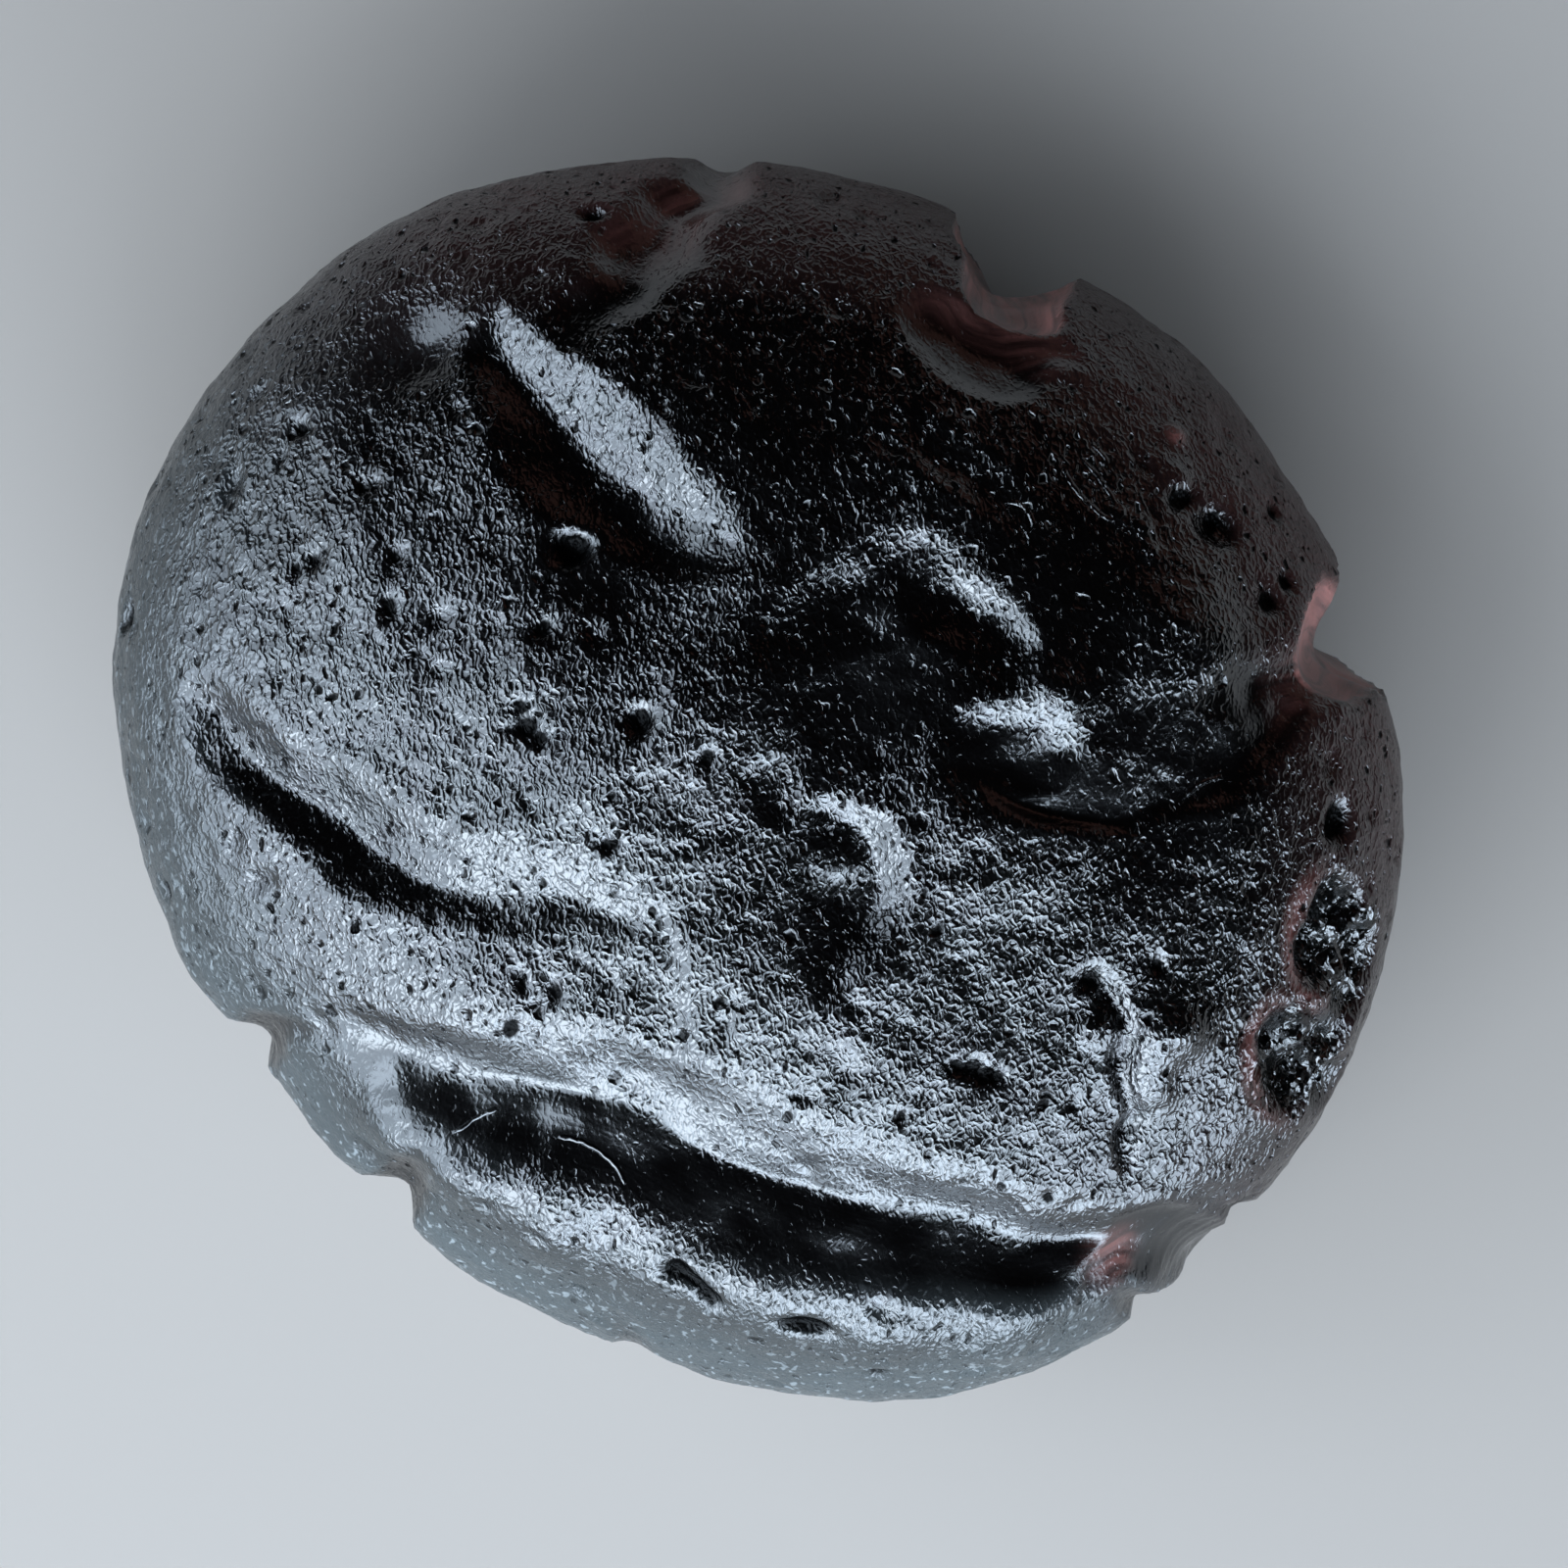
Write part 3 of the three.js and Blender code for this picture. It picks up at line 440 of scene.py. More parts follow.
broken = np.zeros(len(lump))
chance = np.random.default_rng(7)
for x, y, half_width, half_length in BROKEN_PITS:
    angle = chance.uniform(0, 2 * np.pi, BITES_PER_PIT)
    away = np.sqrt(chance.uniform(0, BITE_SPREAD, BITES_PER_PIT))
    radii = chance.uniform(*BITE_RADIUS, BITES_PER_PIT)
    places = on_lump(x + half_width * away * np.cos(angle), y + half_length * away * np.sin(angle), TOP)
    for place, radius in zip(places, radii):
        inside = inside_ball(lump, place, radius)
        sunk = np.minimum(inside * BITE_LIP_SLOPE, 1) * (1 - BITE_FLOOR_RISE * inside)
        depth_below += BITE_DEPTH * radius * sunk
        broken = np.maximum(broken, np.minimum(1, inside * 2))
    across, along = (lump[:, 0] - x) / half_width, (lump[:, 1] - y) / half_length
    off_edge = np.abs(np.hypot(across, along) - BROKEN_EDGE) / BROKEN_EDGE_WIDTH
    left_edge = np.clip(1 - off_edge, 0, 1) * np.clip(-across, 0, 1)
    brown = np.maximum(brown, BROKEN_EDGE_BROWN * left_edge * (lump[:, 2] > 0))

for x, y, radius, share in BROWN_SPOTS:
    brown = np.maximum(brown, share * patch(x, y, radius))

# painted shade and sheen on the rim, less of it in gutters, pits and broken pits
bearing = np.degrees(np.arctan2(lump[:, 1], lump[:, 0])) % 360
rim_shade_and_sheen = np.interp(bearing, RIM_PAINT_BEARINGS, RIM_PAINT_SHARES)
rim_shade_and_sheen *= np.interp(lump[:, 2], RIM_PAINT_HEIGHTS, RIM_PAINT_HEIGHT_SHARES)
rim_shade_and_sheen *= np.clip(1 - depth_below / RIM_PAINT_FREE_DEPTH, 0, 1) * (1 - broken)

for x, y, radius, share in CALM:
    smooth = np.maximum(smooth, share * patch(x, y, radius))

swell = np.zeros(len(lump))
for rise, *waves in SWELL:
    product = rise
    for *per_length, phase in waves:
        product = product * np.sin(2 * np.pi * (lump @ per_length) / SWELL_LENGTH + phase)
    swell += product
off_rim = np.abs(lump[:, 2]) / np.where(lump[:, 2] > 0, DOME_HEIGHT, BELLY_DEPTH)
stands_out = swell * (1 - (1 - off_rim ** 2) ** 2) - depth_below
for side, rises in LUMPS.items():
    for x, y, z, radius, height in stations_on_lump(rises, side):
        stands_out += height * np.exp(-((lump - [x, y, z]) ** 2).sum(axis=1) / radius ** 2)


# ---- Its skin ----------------------------------------------------------------------------------------
# The stone has lain and rolled on its belly, which is worn to a small flat. The skin is one closed surface,
# written out in metres with the flat on the floor.

FLAT_WEAR = 0.5  # how much of the belly the resting flat has taken off
MM = 0.001

skin = lump + lump_out * stands_out[:, None]
middle = (skin.max(axis=0) + skin.min(axis=0)) / 2
skin -= [middle[0], middle[1], FLAT_WEAR - BELLY_DEPTH]
skin[:, 2] = np.maximum(skin[:, 2], 0)

stone_mesh = bpy.data.meshes.new("stone")
stone_mesh.from_pydata((skin * MM).tolist(), [], quads.tolist())
stone_mesh.update()
skin_shares = {"smooth": smooth, "brown": brown, "broken": broken, "hollow": hollow, "rim_shade_and_sheen": rim_shade_and_sheen}
for name, values in skin_shares.items():
    stone_mesh.attributes.new(name, "FLOAT", "POINT").data.foreach_set("value", values.astype(np.float32))
stone_mesh.attributes.new("along_flow", "FLOAT_VECTOR", "POINT").data.foreach_set(
    "vector", along_flow.astype(np.float32).ravel())
stone_mesh.shade_smooth()
bare_stone = bpy.data.objects.new("bare_stone", stone_mesh)
bpy.context.scene.collection.objects.link(bare_stone)


# ---- Its scattered etch pits -------------------------------------------------------------------------
# Where the skin isn't a smooth gutter it is eaten into small pits, a little longer than wide, lying any way.
# They are scattered over the skin at random and sunk into it, in one coarse pass and one finer pass. The
# coarse pass also makes the whole skin a little uneven. All of it dies away towards the resting flat.

PIT_SEARCH = 0.7 * MM  # the scatter tries one place in each square of this size
FLAT_MARGIN = 0.4 * MM  # height above the flat from which the pits have their whole depth
ETCH_PIT_SHADE = 0.8  # share of painted black shade inside an etch pit
BROAD_SWELL, BROAD_PER_MM = 0.3, 0.45  # the skin's unevenness: its height and how fast it changes
SMALL_SWELL, SMALL_PER_MM = 0.16, 1.2
SMOOTH_SMALL_SWELL = 0.2  # share of the small one that is left where the skin is smooth


class Wire:
    """A socket in a node tree. Arithmetic on it adds Math nodes."""

    def __init__(self, tree, socket):
        self.tree, self.socket = tree, socket

    def math(self, operation, *values):
        return self.tree.node("ShaderNodeMath", {"operation": operation}, dict(enumerate(values)))

    def __add__(self, other):
        return self.math("ADD", self, other)

    def __radd__(self, other):
        return self.math("ADD", other, self)

    def __sub__(self, other):
        return self.math("SUBTRACT", self, other)

    def __rsub__(self, other):
        return self.math("SUBTRACT", other, self)

    def __mul__(self, other):
        return self.math("MULTIPLY", self, other)

    def __rmul__(self, other):
        return self.math("MULTIPLY", other, self)

    def __truediv__(self, other):
        return self.math("DIVIDE", self, other)

    def __rtruediv__(self, other):
        return self.math("DIVIDE", other, self)

    def __pow__(self, other):
        return self.math("POWER", self, other)

    def at_least(self, other):
        return self.math("MAXIMUM", self, other)

    def at_most(self, other):
        return self.math("MINIMUM", self, other)

    def beside(self, name):
        """Another output of the same node."""
        return Wire(self.tree, self.socket.node.outputs[name])


class Tree:
    """A node tree, and the one way that nodes are put in it."""

    def __init__(self, node_tree):
        self.inside = node_tree

    def node(self, kind, settings=None, inputs=None, output=0):
        """Adds a node with its settings, then the values or wires of its sockets, and gives one output."""
        made = self.inside.nodes.new(kind)
        for name, value in (settings or {}).items():
            setattr(made, name, value)
        for name, value in (inputs or {}).items():
            if isinstance(value, Wire):
                self.inside.links.new(value.socket, made.inputs[name])
            else:
                made.inputs[name].default_value = value
        return Wire(self, made.outputs[output]) if len(made.outputs) else made

    def vector(self, operation, first, second=(0, 0, 0), output=0):
        """The same for a Vector Math node."""
        inputs = {0: first, ("Scale" if operation == "SCALE" else 1): second}
        return self.node("ShaderNodeVectorMath", {"operation": operation}, inputs, output)


pit_group = bpy.data.node_groups.new("etch_pits", "GeometryNodeTree")
for name, kind in (
    ("Skin", "NodeSocketGeometry"), ("Spacing", "NodeSocketFloat"), ("Smallest Radius", "NodeSocketFloat"),
    ("Largest Radius", "NodeSocketFloat"), ("Depth Share", "NodeSocketFloat"), ("Stretch", "NodeSocketFloat"),
    ("Unevenness", "NodeSocketFloat"), ("Seed", "NodeSocketInt"), ("Glass", "NodeSocketMaterial"),
):
    pit_group.interface.new_socket(name, in_out="INPUT", socket_type=kind)
pit_group.interface.new_socket("Skin", in_out="OUTPUT", socket_type="NodeSocketGeometry")
pitting = Tree(pit_group)
group_in = pit_group.nodes.new("NodeGroupInput")
given = {socket.name: Wire(pitting, socket) for socket in group_in.outputs if socket.name}
roughened = 1 - pitting.node("GeometryNodeInputNamedAttribute", {"data_type": "FLOAT"}, {"Name": "smooth"})
scatter = pitting.node(
    "GeometryNodeDistributePointsOnFaces", {"distribute_method": "POISSON"},
    {"Mesh": given["Skin"], "Distance Min": given["Spacing"], "Density Max": 1 / PIT_SEARCH ** 2,
     "Density Factor": roughened, "Seed": given["Seed"]})
here = pitting.node("GeometryNodeInputPosition")
nearest = pitting.node("GeometryNodeSampleNearest", {"domain": "POINT"}, {"Geometry": scatter})


def of_nearest_pit(kind, value):
    """What a value is at the scattered point nearest to here."""
    settings = {"data_type": kind, "domain": "POINT"}
    inputs = {"Geometry": scatter, "Value": value, "Index": nearest}
    return pitting.node("GeometryNodeSampleIndex", settings, inputs)


random_size = pitting.node("FunctionNodeRandomValue", {"data_type": "FLOAT"}, {
    2: 0.0, 3: 1.0, "ID": pitting.node("GeometryNodeInputIndex"), "Seed": given["Seed"]}, output=1)
random_heading = pitting.node("FunctionNodeRandomValue", {"data_type": "FLOAT_VECTOR"}, {
    0: (-1, -1, -1), 1: (1, 1, 1), "ID": pitting.node("GeometryNodeInputIndex"), "Seed": given["Seed"]})
size_share = of_nearest_pit("FLOAT", random_size) ** 2
radius = given["Smallest Radius"] + size_share * (given["Largest Radius"] - given["Smallest Radius"])
heading = pitting.vector("NORMALIZE", of_nearest_pit("FLOAT_VECTOR", random_heading))
offset = pitting.vector("SUBTRACT", here, of_nearest_pit("FLOAT_VECTOR", here))
lengthways = pitting.vector("DOT_PRODUCT", offset, heading, output="Value")
distance = pitting.vector("LENGTH", offset, output="Value")
squared = distance ** 2 - lengthways ** 2 * (1 - 1 / (given["Stretch"] * given["Stretch"]))
sunk = (1 - squared / (radius * radius)).at_least(0) ** LIP_ROUNDING
depth = sunk * radius * given["Depth Share"] * roughened
above_flat = (pitting.node("ShaderNodeSeparateXYZ", {}, {0: here}, output="Z") * (1 / FLAT_MARGIN)).at_most(1)
broad = pitting.node("ShaderNodeTexNoise", {}, {"Vector": here, "Scale": BROAD_PER_MM / MM, "Detail": 1.0})
small = pitting.node("ShaderNodeTexNoise", {}, {"Vector": here, "Scale": SMALL_PER_MM / MM, "Detail": 1.5})
small_left = SMOOTH_SMALL_SWELL + (1 - SMOOTH_SMALL_SWELL) * roughened
uneven = given["Unevenness"] * (BROAD_SWELL * (broad - 0.5) + SMALL_SWELL * (small - 0.5) * small_left)
outward = pitting.vector("SCALE", pitting.node("GeometryNodeInputNormal"), (uneven - depth) * above_flat)
pitted = pitting.node("GeometryNodeSetPosition", {}, {"Geometry": given["Skin"], "Offset": outward})
# painted shade: the insides of the etch pits are marked to be painted black
hollow_before = pitting.node("GeometryNodeInputNamedAttribute", {"data_type": "FLOAT"}, {"Name": "hollow"})
darkened = pitting.node("GeometryNodeStoreNamedAttribute", {"data_type": "FLOAT", "domain": "POINT"}, {
    "Geometry": pitted, "Name": "hollow", "Value": hollow_before.at_least(ETCH_PIT_SHADE * sunk * roughened)})
whole = pitting.node("GeometryNodeRealizeInstances", {}, {"Geometry": darkened})
finished = pitting.node("GeometryNodeSetMaterial", {}, {"Geometry": whole, "Material": given["Glass"]})
group_out = pit_group.nodes.new("NodeGroupOutput")
pit_group.links.new(finished.socket, group_out.inputs["Skin"])


# ---- Its glass ---------------------------------------------------------------------------------------
# The glass is near black, and brown where an edge is thin enough to let light through. Its skin is bright but
# etched: pits down to a tenth of a millimetre all over, and fine stripes along the smooth gutters. The rim is
# given a duller skin of painted shade, reddish brown towards the upper right, and of greenish grey painted
# sheen with white painted glints on the lower left. Pits and narrow gutters are painted black for their
# shade.

GLASS_BODY, GLASS_THIN = (0.0003, 0.0002, 0.00025, 1), (0.26, 0.095, 0.08, 1)
# painted shade and sheen of the rim: dull brown shade (as brown as thin glass), grey sheen, white glints
RIM_SHADE_BROWN, RIM_SHEEN_GREY = (0.05, 0.021, 0.019, 1), (0.054, 0.062, 0.063, 1)
RIM_GLINT_WHITE = (0.34, 0.37, 0.38, 1)
# painted shade: the black of pits and narrow creases
PIT_SHADE_BLACK = (0.0002, 0.0002, 0.0002, 1)

black_glass = bpy.data.materials.new("black_glass")
black_glass.use_nodes = True
black_glass.node_tree.nodes.clear()
glass = Tree(black_glass.node_tree)
place = glass.node("ShaderNodeTexCoord", {}, {}, output="Object")
place_mm = glass.vector("SCALE", place, 1 / MM)
smooth_here, brown_here, broken_here, hollow_here, rim_shade_and_sheen_here = [
    glass.node("ShaderNodeAttribute", {"attribute_name": name}, output="Fac") for name in skin_shares]
flow_here = glass.node("ShaderNodeAttribute", {"attribute_name": "along_flow"}, output="Vector")


def noise(where, per_mm, detail, output="Fac"):
    return glass.node("ShaderNodeTexNoise", {}, {"Vector": where, "Scale": per_mm, "Detail": detail}, output)


def mixed(share, first, second):
    """A colour that goes from the first to the second as the share goes from 0 to 1."""
    inputs = {"Factor": share, "A": first, "B": second}
    return glass.node("ShaderNodeMix", {"data_type": "RGBA"}, inputs, output="Result")


def cells(where, size):
    """Distance, in cells, to the middle of the nearest of packed random cells about a size across."""
    inputs = {"Vector": where, "Scale": 1 / size, "Randomness": 1.0}
    return glass.node("ShaderNodeTexVoronoi", {"feature": "F1"}, inputs, "Distance")


def drawn_for(cell):
    """A number from 0 to 1 drawn for each cell."""
    return glass.node("ShaderNodeSeparateColor", {}, {0: cell.beside("Color")}, "Red")


def pits(cell, drawn, reach, share):
    """Depth, 0 to 1, of sharp-lipped pits, each its own size, in a share of the cells."""
    size = ((drawn - (1 - share)) / share).at_least(0) ** 0.5
    inside = (1 - (cell / (reach * size + 0.001)) ** 2).at_least(0)
    return inside * size


def kept(share, least):
    """A share of 0 to 1 squeezed to lie between the least and 1."""
    return least + (1 - least) * share


def sharpened(amount, start, full):
    """0 where an amount is below its start, 1 from where it is full."""
    return ((amount - start) / (full - start)).at_least(0).at_most(1)


LARGE_SIZE, MEDIUM_SIZE, FINE_SIZE = 1.3, 0.5, 0.22  # of the cells that the shallow pits lie in
LARGE_DEPTH, MEDIUM_DEPTH, FINE_DEPTH = 0.18, 0.12, 0.03
GRAIN_RISE = 0.05
DIMPLE_CURVE = 0.95  # of the dimples with raised seams that the fine cells make
FACET_STEEPNESS = 1.8  # of the flat facets in the broken pits
STRIPE_RISE = 0.010
STRIPES_PER_MM = (0.35, 5.0, 1.0)  # along a gutter and across it
BROWN_STREAKS_PER_MM = (0.25, 2.2, 1.0)
WANDER_PER_MM = 2.2
WANDER, LITTLE_WANDER = 0.45, 0.3  # how far cells are led astray, and the share of it for hair lines
DEEPEST_PIT_SHADE = 0.97  # share of painted black shade in the deepest pit
RIM_SHEEN_OVER_PIT_SHADE = 0.8  # share of the painted pit shade that the painted rim sheen covers on the lower left
BROWN_BETWEEN_STREAKS, BROWN_IN_STREAKS, BROWNEST = 0.25, 1.5, 1.2
SKIN_ROUGHNESS, PATCHY_ROUGHNESS, BROWN_ROUGHNESS = 0.14, 0.10, 0.25
PATCHES_PER_MM = 0.35
LEAST_RIM_PAINT, PATCHY_RIM_PAINT = 0.45, 0.5  # of the painted rim shade and sheen where fullest, and what the patches add
# painted glints: white flecks on the lower left of the rim
GLINT_FLECKS_PER_MM = (3.6, 2.2, 2.6)
GLINT_FLECK_STRENGTH = 0.5
SHADE_TO_SHEEN_CHANGE = 6.0  # how far either side of the middle the painted rim goes from brown shade to grey sheen
HAIRLINES = [  # [x, y, x, y, bow] of fine raised lines on the dome from end to end, bowed out to the left
    [11.1, 11.3, 12.9, 9.4, -0.2], [11.8, 11.7, 13.0, 10.0, 0.1], [12.1, 12.3, 12.7, 11.4, 0.15],
    [9.0, 10.1, 9.95, 9.05, 0.35], [-7.3, -13.0, -4.85, -14.7, 0.4], [-11.2, -12.9, -9.6, -12.0, 0.05],
    [15.3, -0.9, 16.9, 0.1, 0.2],
]
HAIRLINE_RISE, HAIRLINE_HALF_WIDTH = 0.06, 0.09


def hairline(x0, y0, x1, y1, bow):
    """Height, 0 to 1, of a line along an arc that tapers off to both ends."""
    start, end = Vector((x0, y0, 0)), Vector((x1, y1, 0))
    half, middle = (end - start).length / 2, (start + end) / 2
    leftward = Vector((start.y - end.y, end.x - start.x, 0)).normalized()
    radius = (half ** 2 + bow ** 2) / (2 * bow)
    flat = glass.vector("MULTIPLY", wandered_little, (1, 1, 0))
    from_centre = glass.vector("DISTANCE", flat, middle + leftward * (bow - radius), output="Value")
    from_middle = glass.vector("DISTANCE", flat, middle, output="Value")
    aside = (from_centre - abs(radius)) / HAIRLINE_HALF_WIDTH
    return (1 - aside ** 2).at_least(0) * (1 - (from_middle / half) ** 2).at_least(0) ** 0.5


MEAN_COLOUR = (0.5, 0.5, 0.5)
any_way = glass.vector("SUBTRACT", noise(place_mm, WANDER_PER_MM, 1.0, "Color"), MEAN_COLOUR)
wander = glass.vector("SCALE", any_way, WANDER)
wandered = glass.vector("ADD", place_mm, wander)
wandered_little = glass.vector("ADD", place_mm, glass.vector("SCALE", wander, LITTLE_WANDER))
etched = 1 - smooth_here
drawn_out = glass.node("ShaderNodeMapping", {}, {  # longer than wide, and turned
    "Vector": wandered, "Rotation": (0, 0, math.radians(40)), "Scale": (1.3, 0.75, 1.0)})
large, medium, fine = cells(wandered, LARGE_SIZE), cells(drawn_out, MEDIUM_SIZE), cells(drawn_out, FINE_SIZE)
large_pits = pits(large, drawn_for(large), reach=0.26, share=0.3)
medium_pits = pits(medium, drawn_for(medium), reach=0.4, share=0.4)
grains = pits(medium, 1 - drawn_for(medium), reach=0.16, share=0.3)
fine_pits = pits(fine, drawn_for(fine), reach=0.45, share=0.6)
chip_slope = glass.vector("SUBTRACT", medium.beside("Color"), MEAN_COLOUR)
chip_offset = glass.vector("SUBTRACT", drawn_out, medium.beside("Position"))
facets = glass.vector("DOT_PRODUCT", chip_offset, chip_slope, output="Value")  # each sloping its own way
hairlines = HAIRLINE_RISE * hairline(*HAIRLINES[0])
for line in HAIRLINES[1:]:
    hairlines = hairlines.at_least(HAIRLINE_RISE * hairline(*line))
height_here = glass.node("ShaderNodeSeparateXYZ", {}, {0: place_mm}, output="Z")
on_dome = sharpened(height_here, BELLY_DEPTH, BELLY_DEPTH + 1)
stripes = noise(glass.vector("MULTIPLY", flow_here, STRIPES_PER_MM), 1.0, 1.0)
mostly_etched = kept(etched, 0.3)
relief = (
    -LARGE_DEPTH * large_pits * etched - MEDIUM_DEPTH * medium_pits * etched
    - FINE_DEPTH * fine_pits * mostly_etched
    + DIMPLE_CURVE * (FINE_SIZE * fine) ** 2 * kept(etched, 0.15)
    + GRAIN_RISE * grains * mostly_etched + hairlines * on_dome
    + FACET_STEEPNESS * facets * broken_here + STRIPE_RISE * stripes * smooth_here
)
etched_normal = glass.node("ShaderNodeBump", {}, {"Strength": 1.0, "Distance": MM, "Height": relief})
patches = noise(place_mm, PATCHES_PER_MM, 3.0)
roughness = SKIN_ROUGHNESS + PATCHY_ROUGHNESS * patches + BROWN_ROUGHNESS * brown_here
streaks = noise(glass.vector("MULTIPLY", flow_here, BROWN_STREAKS_PER_MM), 1.0, 3.0)
shines_through = brown_here * (BROWN_BETWEEN_STREAKS + BROWN_IN_STREAKS * sharpened(streaks, 0.35, 0.65))
tint = glass.node("ShaderNodeMix", {"data_type": "RGBA", "clamp_factor": False}, {
    "Factor": shines_through.at_most(BROWNEST), "A": GLASS_BODY, "B": GLASS_THIN}, output="Result")
bright_skin = glass.node("ShaderNodeBsdfPrincipled", {}, {
    "Base Color": tint, "Roughness": roughness, "Normal": etched_normal, "IOR": 1.72})
# painted shade: a dull black skin mixed into pits and narrow gutters for their shade
deep_hollow = glass.node("ShaderNodeBsdfPrincipled", {}, {
    "Base Color": PIT_SHADE_BLACK, "Roughness": 0.5, "Normal": etched_normal, "Specular IOR Level": 0.02})
# the lower left, towards the main softbox, gets painted sheen; the upper right gets painted shade
towards_light = glass.vector("DOT_PRODUCT", place_mm, (-0.7, -0.7, 0), output="Value")
lit_side = sharpened(towards_light, -SHADE_TO_SHEEN_CHANGE, SHADE_TO_SHEEN_CHANGE)
# painted shade: how much of the dull black skin each pit and narrow gutter gets
ragged_pit_shade = hollow_here + 0.3 * (noise(place_mm, 3.0, 2.0) - 0.5) * sharpened(hollow_here, 0.0, 0.2)
shaded_pit_share = (
    sharpened(ragged_pit_shade, 0.5, 0.75)
    .at_least(sharpened(large_pits, 0.3, 0.6) * etched)
    .at_least(sharpened(medium_pits, 0.3, 0.6) * etched)
    .at_least(sharpened(fine_pits, 0.5, 0.75) * etched)
)
painted_pit_shade = DEEPEST_PIT_SHADE * (1 - RIM_SHEEN_OVER_PIT_SHADE * rim_shade_and_sheen_here * lit_side) * shaded_pit_share
# painted glints and sheen on the lower left of the rim, painted shade on the upper right, as one dull skin
glint_flecks = sharpened(noise(glass.vector("MULTIPLY", wandered, GLINT_FLECKS_PER_MM), 1.0, 1.0), 0.62, 0.70)
rim_shade_sheen_colour = mixed(GLINT_FLECK_STRENGTH * glint_flecks * lit_side, mixed(lit_side, RIM_SHADE_BROWN, RIM_SHEEN_GREY), RIM_GLINT_WHITE)
shaded_and_lit_rim = glass.node("ShaderNodeBsdfPrincipled", {}, {
    "Base Color": rim_shade_sheen_colour, "Roughness": 0.45, "Normal": etched_normal, "Specular IOR Level": 0.15})
rim_shade_and_sheen_share = rim_shade_and_sheen_here * (1 - brown_here) * (LEAST_RIM_PAINT + PATCHY_RIM_PAINT * patches)
skin_shader = glass.node("ShaderNodeMixShader", {}, {0: rim_shade_and_sheen_share, 1: bright_skin, 2: shaded_and_lit_rim})
shader = glass.node("ShaderNodeMixShader", {}, {0: painted_pit_shade, 1: skin_shader, 2: deep_hollow})
glass.node("ShaderNodeOutputMaterial", {}, {"Surface": shader})

PASSES = {
    "coarse": {"Spacing": 5.5 * MM, "Smallest Radius": 0.3 * MM, "Largest Radius": 0.65 * MM,
               "Depth Share": 0.42, "Stretch": 1.7, "Unevenness": MM, "Seed": 3},
    "fine": {"Spacing": 2.4 * MM, "Smallest Radius": 0.2 * MM, "Largest Radius": 0.42 * MM,
             "Depth Share": 0.4, "Stretch": 1.9, "Unevenness": 0.0, "Seed": 8},
}
for name, sizes in PASSES.items():
    scattering = bare_stone.modifiers.new(name, "NODES")
    scattering.node_group = pit_group
    for item in pit_group.interface.items_tree:
        if item.in_out == "INPUT" and item.name in sizes:
            scattering[item.identifier] = sizes[item.name]
        elif item.in_out == "INPUT" and item.name == "Glass":
            scattering[item.identifier] = black_glass

evaluated = bare_stone.evaluated_get(bpy.context.evaluated_depsgraph_get())
pitted_mesh = bpy.data.meshes.new_from_object(evaluated)
stone = bpy.data.objects.new("stone", pitted_mesh)
bpy.context.scene.collection.objects.link(stone)
bare_stone.modifiers.clear()
bpy.data.objects.remove(bare_stone)
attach(stone, "root")
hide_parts("tektite")


# ---- The floor ---------------------------------------------------------------------------------------
# A plain pale table top, wide enough to fill the picture from any side.

FLOOR_SIZE = 3.0

half = FLOOR_SIZE / 2
floor_mesh = bpy.data.meshes.new("floor")
floor_corners = [(-half, -half, 0), (half, -half, 0), (half, half, 0), (-half, half, 0)]
floor_mesh.from_pydata(floor_corners, [], [(0, 1, 2, 3)])
floor = bpy.data.objects.new("floor", floor_mesh)
bpy.context.scene.collection.objects.link(floor)
pale_board = bpy.data.materials.new("pale_board")
pale_board.use_nodes = True
pale_board.node_tree.nodes.clear()
board = Tree(pale_board.node_tree)
pale = board.node("ShaderNodeBsdfPrincipled", {}, {"Base Color": (0.235, 0.208, 0.185, 1), "Roughness": 0.9})
board.node("ShaderNodeOutputMaterial", {}, {"Surface": pale})
floor_mesh.materials.append(pale_board)


# ---- The light and the camera ------------------------------------------------------------------------
# A large cool softbox low on the left and nearer side rakes the dome, with a small one in front of it for a
# brighter core. Three more cool ones fill in from the near side and the left, and a weak warm one stands
# opposite. The camera looks straight down on the dome.

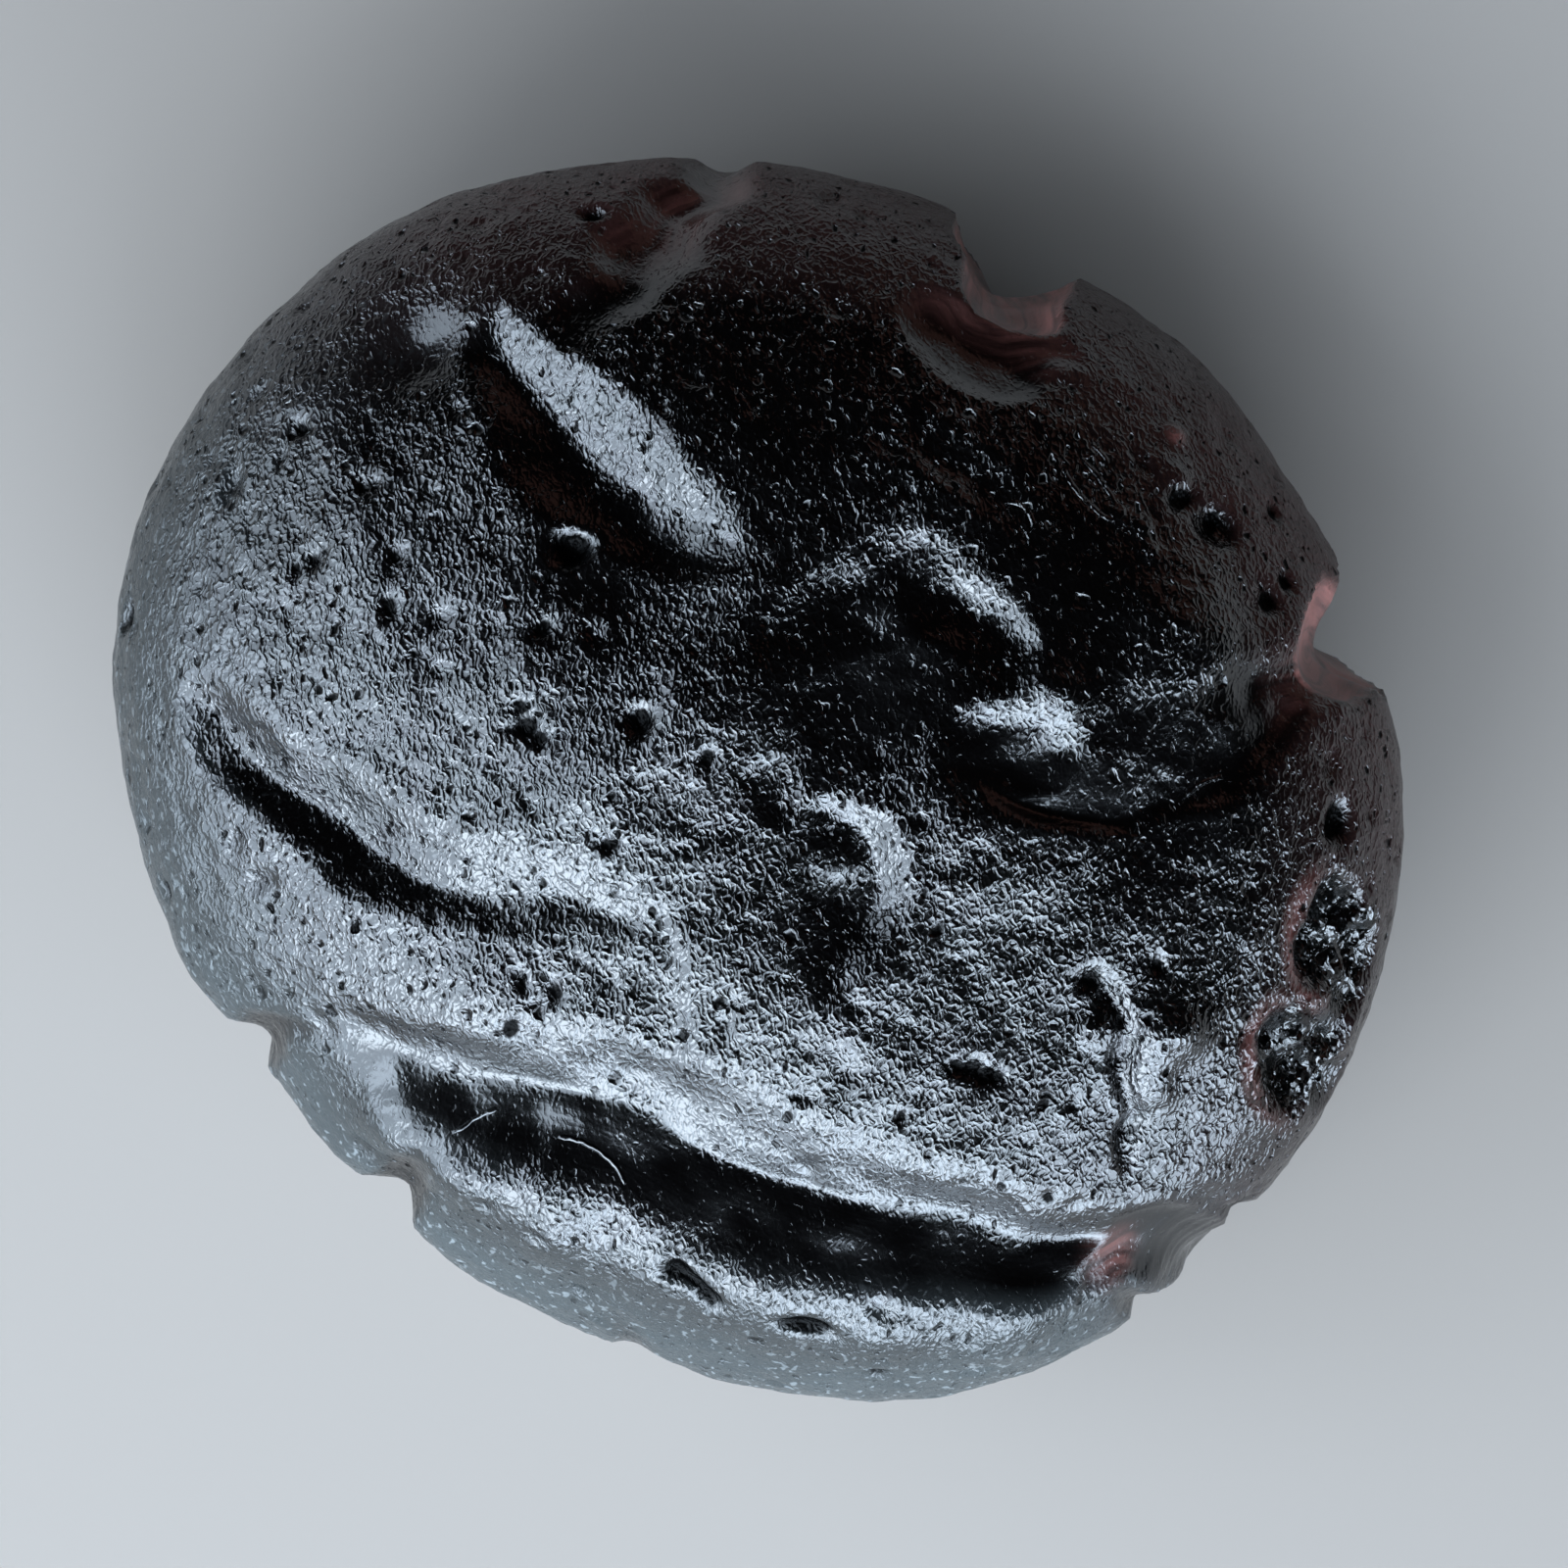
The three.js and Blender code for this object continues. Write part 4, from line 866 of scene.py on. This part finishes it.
COOL, COOL_CORE, WARM = (0.71, 0.86, 1.03), (0.78, 0.90, 1.02), (1.0, 0.5, 0.42)


def softbox(name, azimuth, elevation, distance, width, height, power, colour):
    """A soft panel that faces the middle of the floor, at a bearing and height in degrees."""
    light = bpy.data.lights.new(name, "AREA")
    light.shape = "RECTANGLE"
    light.size, light.size_y = width, height
    light.energy, light.color = power, colour
    turn, rise = math.radians(azimuth), math.radians(elevation)
    towards = Vector((math.cos(rise) * math.cos(turn), math.cos(rise) * math.sin(turn), math.sin(rise)))
    lamp = bpy.data.objects.new(name, light)
    lamp.location = towards * distance
    lamp.rotation_euler = towards.to_track_quat("Z", "Y").to_euler()
    bpy.context.scene.collection.objects.link(lamp)


softbox("main_softbox", 222, 33, 0.34, 0.56, 0.44, 4.025, COOL)
softbox("core_softbox", 236, 38, 0.30, 0.16, 0.14, 0.704, COOL_CORE)
softbox("low_softbox", 298, 20, 0.34, 0.36, 0.24, 2.171, COOL)
softbox("near_softbox", 280, 38, 0.34, 0.18, 0.30, 1.018, COOL)
softbox("left_softbox", 168, 27, 0.34, 0.24, 0.32, 0.869, COOL)
softbox("warm_softbox", 50, 12, 0.50, 0.50, 0.20, 0.045, WARM)

surroundings = bpy.data.worlds.new("dim_room")
surroundings.use_nodes = True
background = surroundings.node_tree.nodes["Background"]
background.inputs["Color"].default_value = (0.9, 0.75, 0.7, 1)
background.inputs["Strength"].default_value = 0.004
bpy.context.scene.world = surroundings

camera_data = bpy.data.cameras.new("camera")
camera = bpy.data.objects.new("camera", camera_data)
bpy.context.scene.collection.objects.link(camera)
RIM_HEIGHT = 0.0097
CAMERA_HEIGHT = 0.42  # above the rim of the stone
PICTURE_WIDTH = 0.0583  # at the rim
camera.location = (0.00091, -0.00016, RIM_HEIGHT + CAMERA_HEIGHT)
camera_data.sensor_width = 36
camera_data.lens = camera_data.sensor_width * CAMERA_HEIGHT / PICTURE_WIDTH
camera_data.clip_start = 0.01
bpy.context.scene.camera = camera
bpy.context.scene.view_settings.view_transform = "Standard"
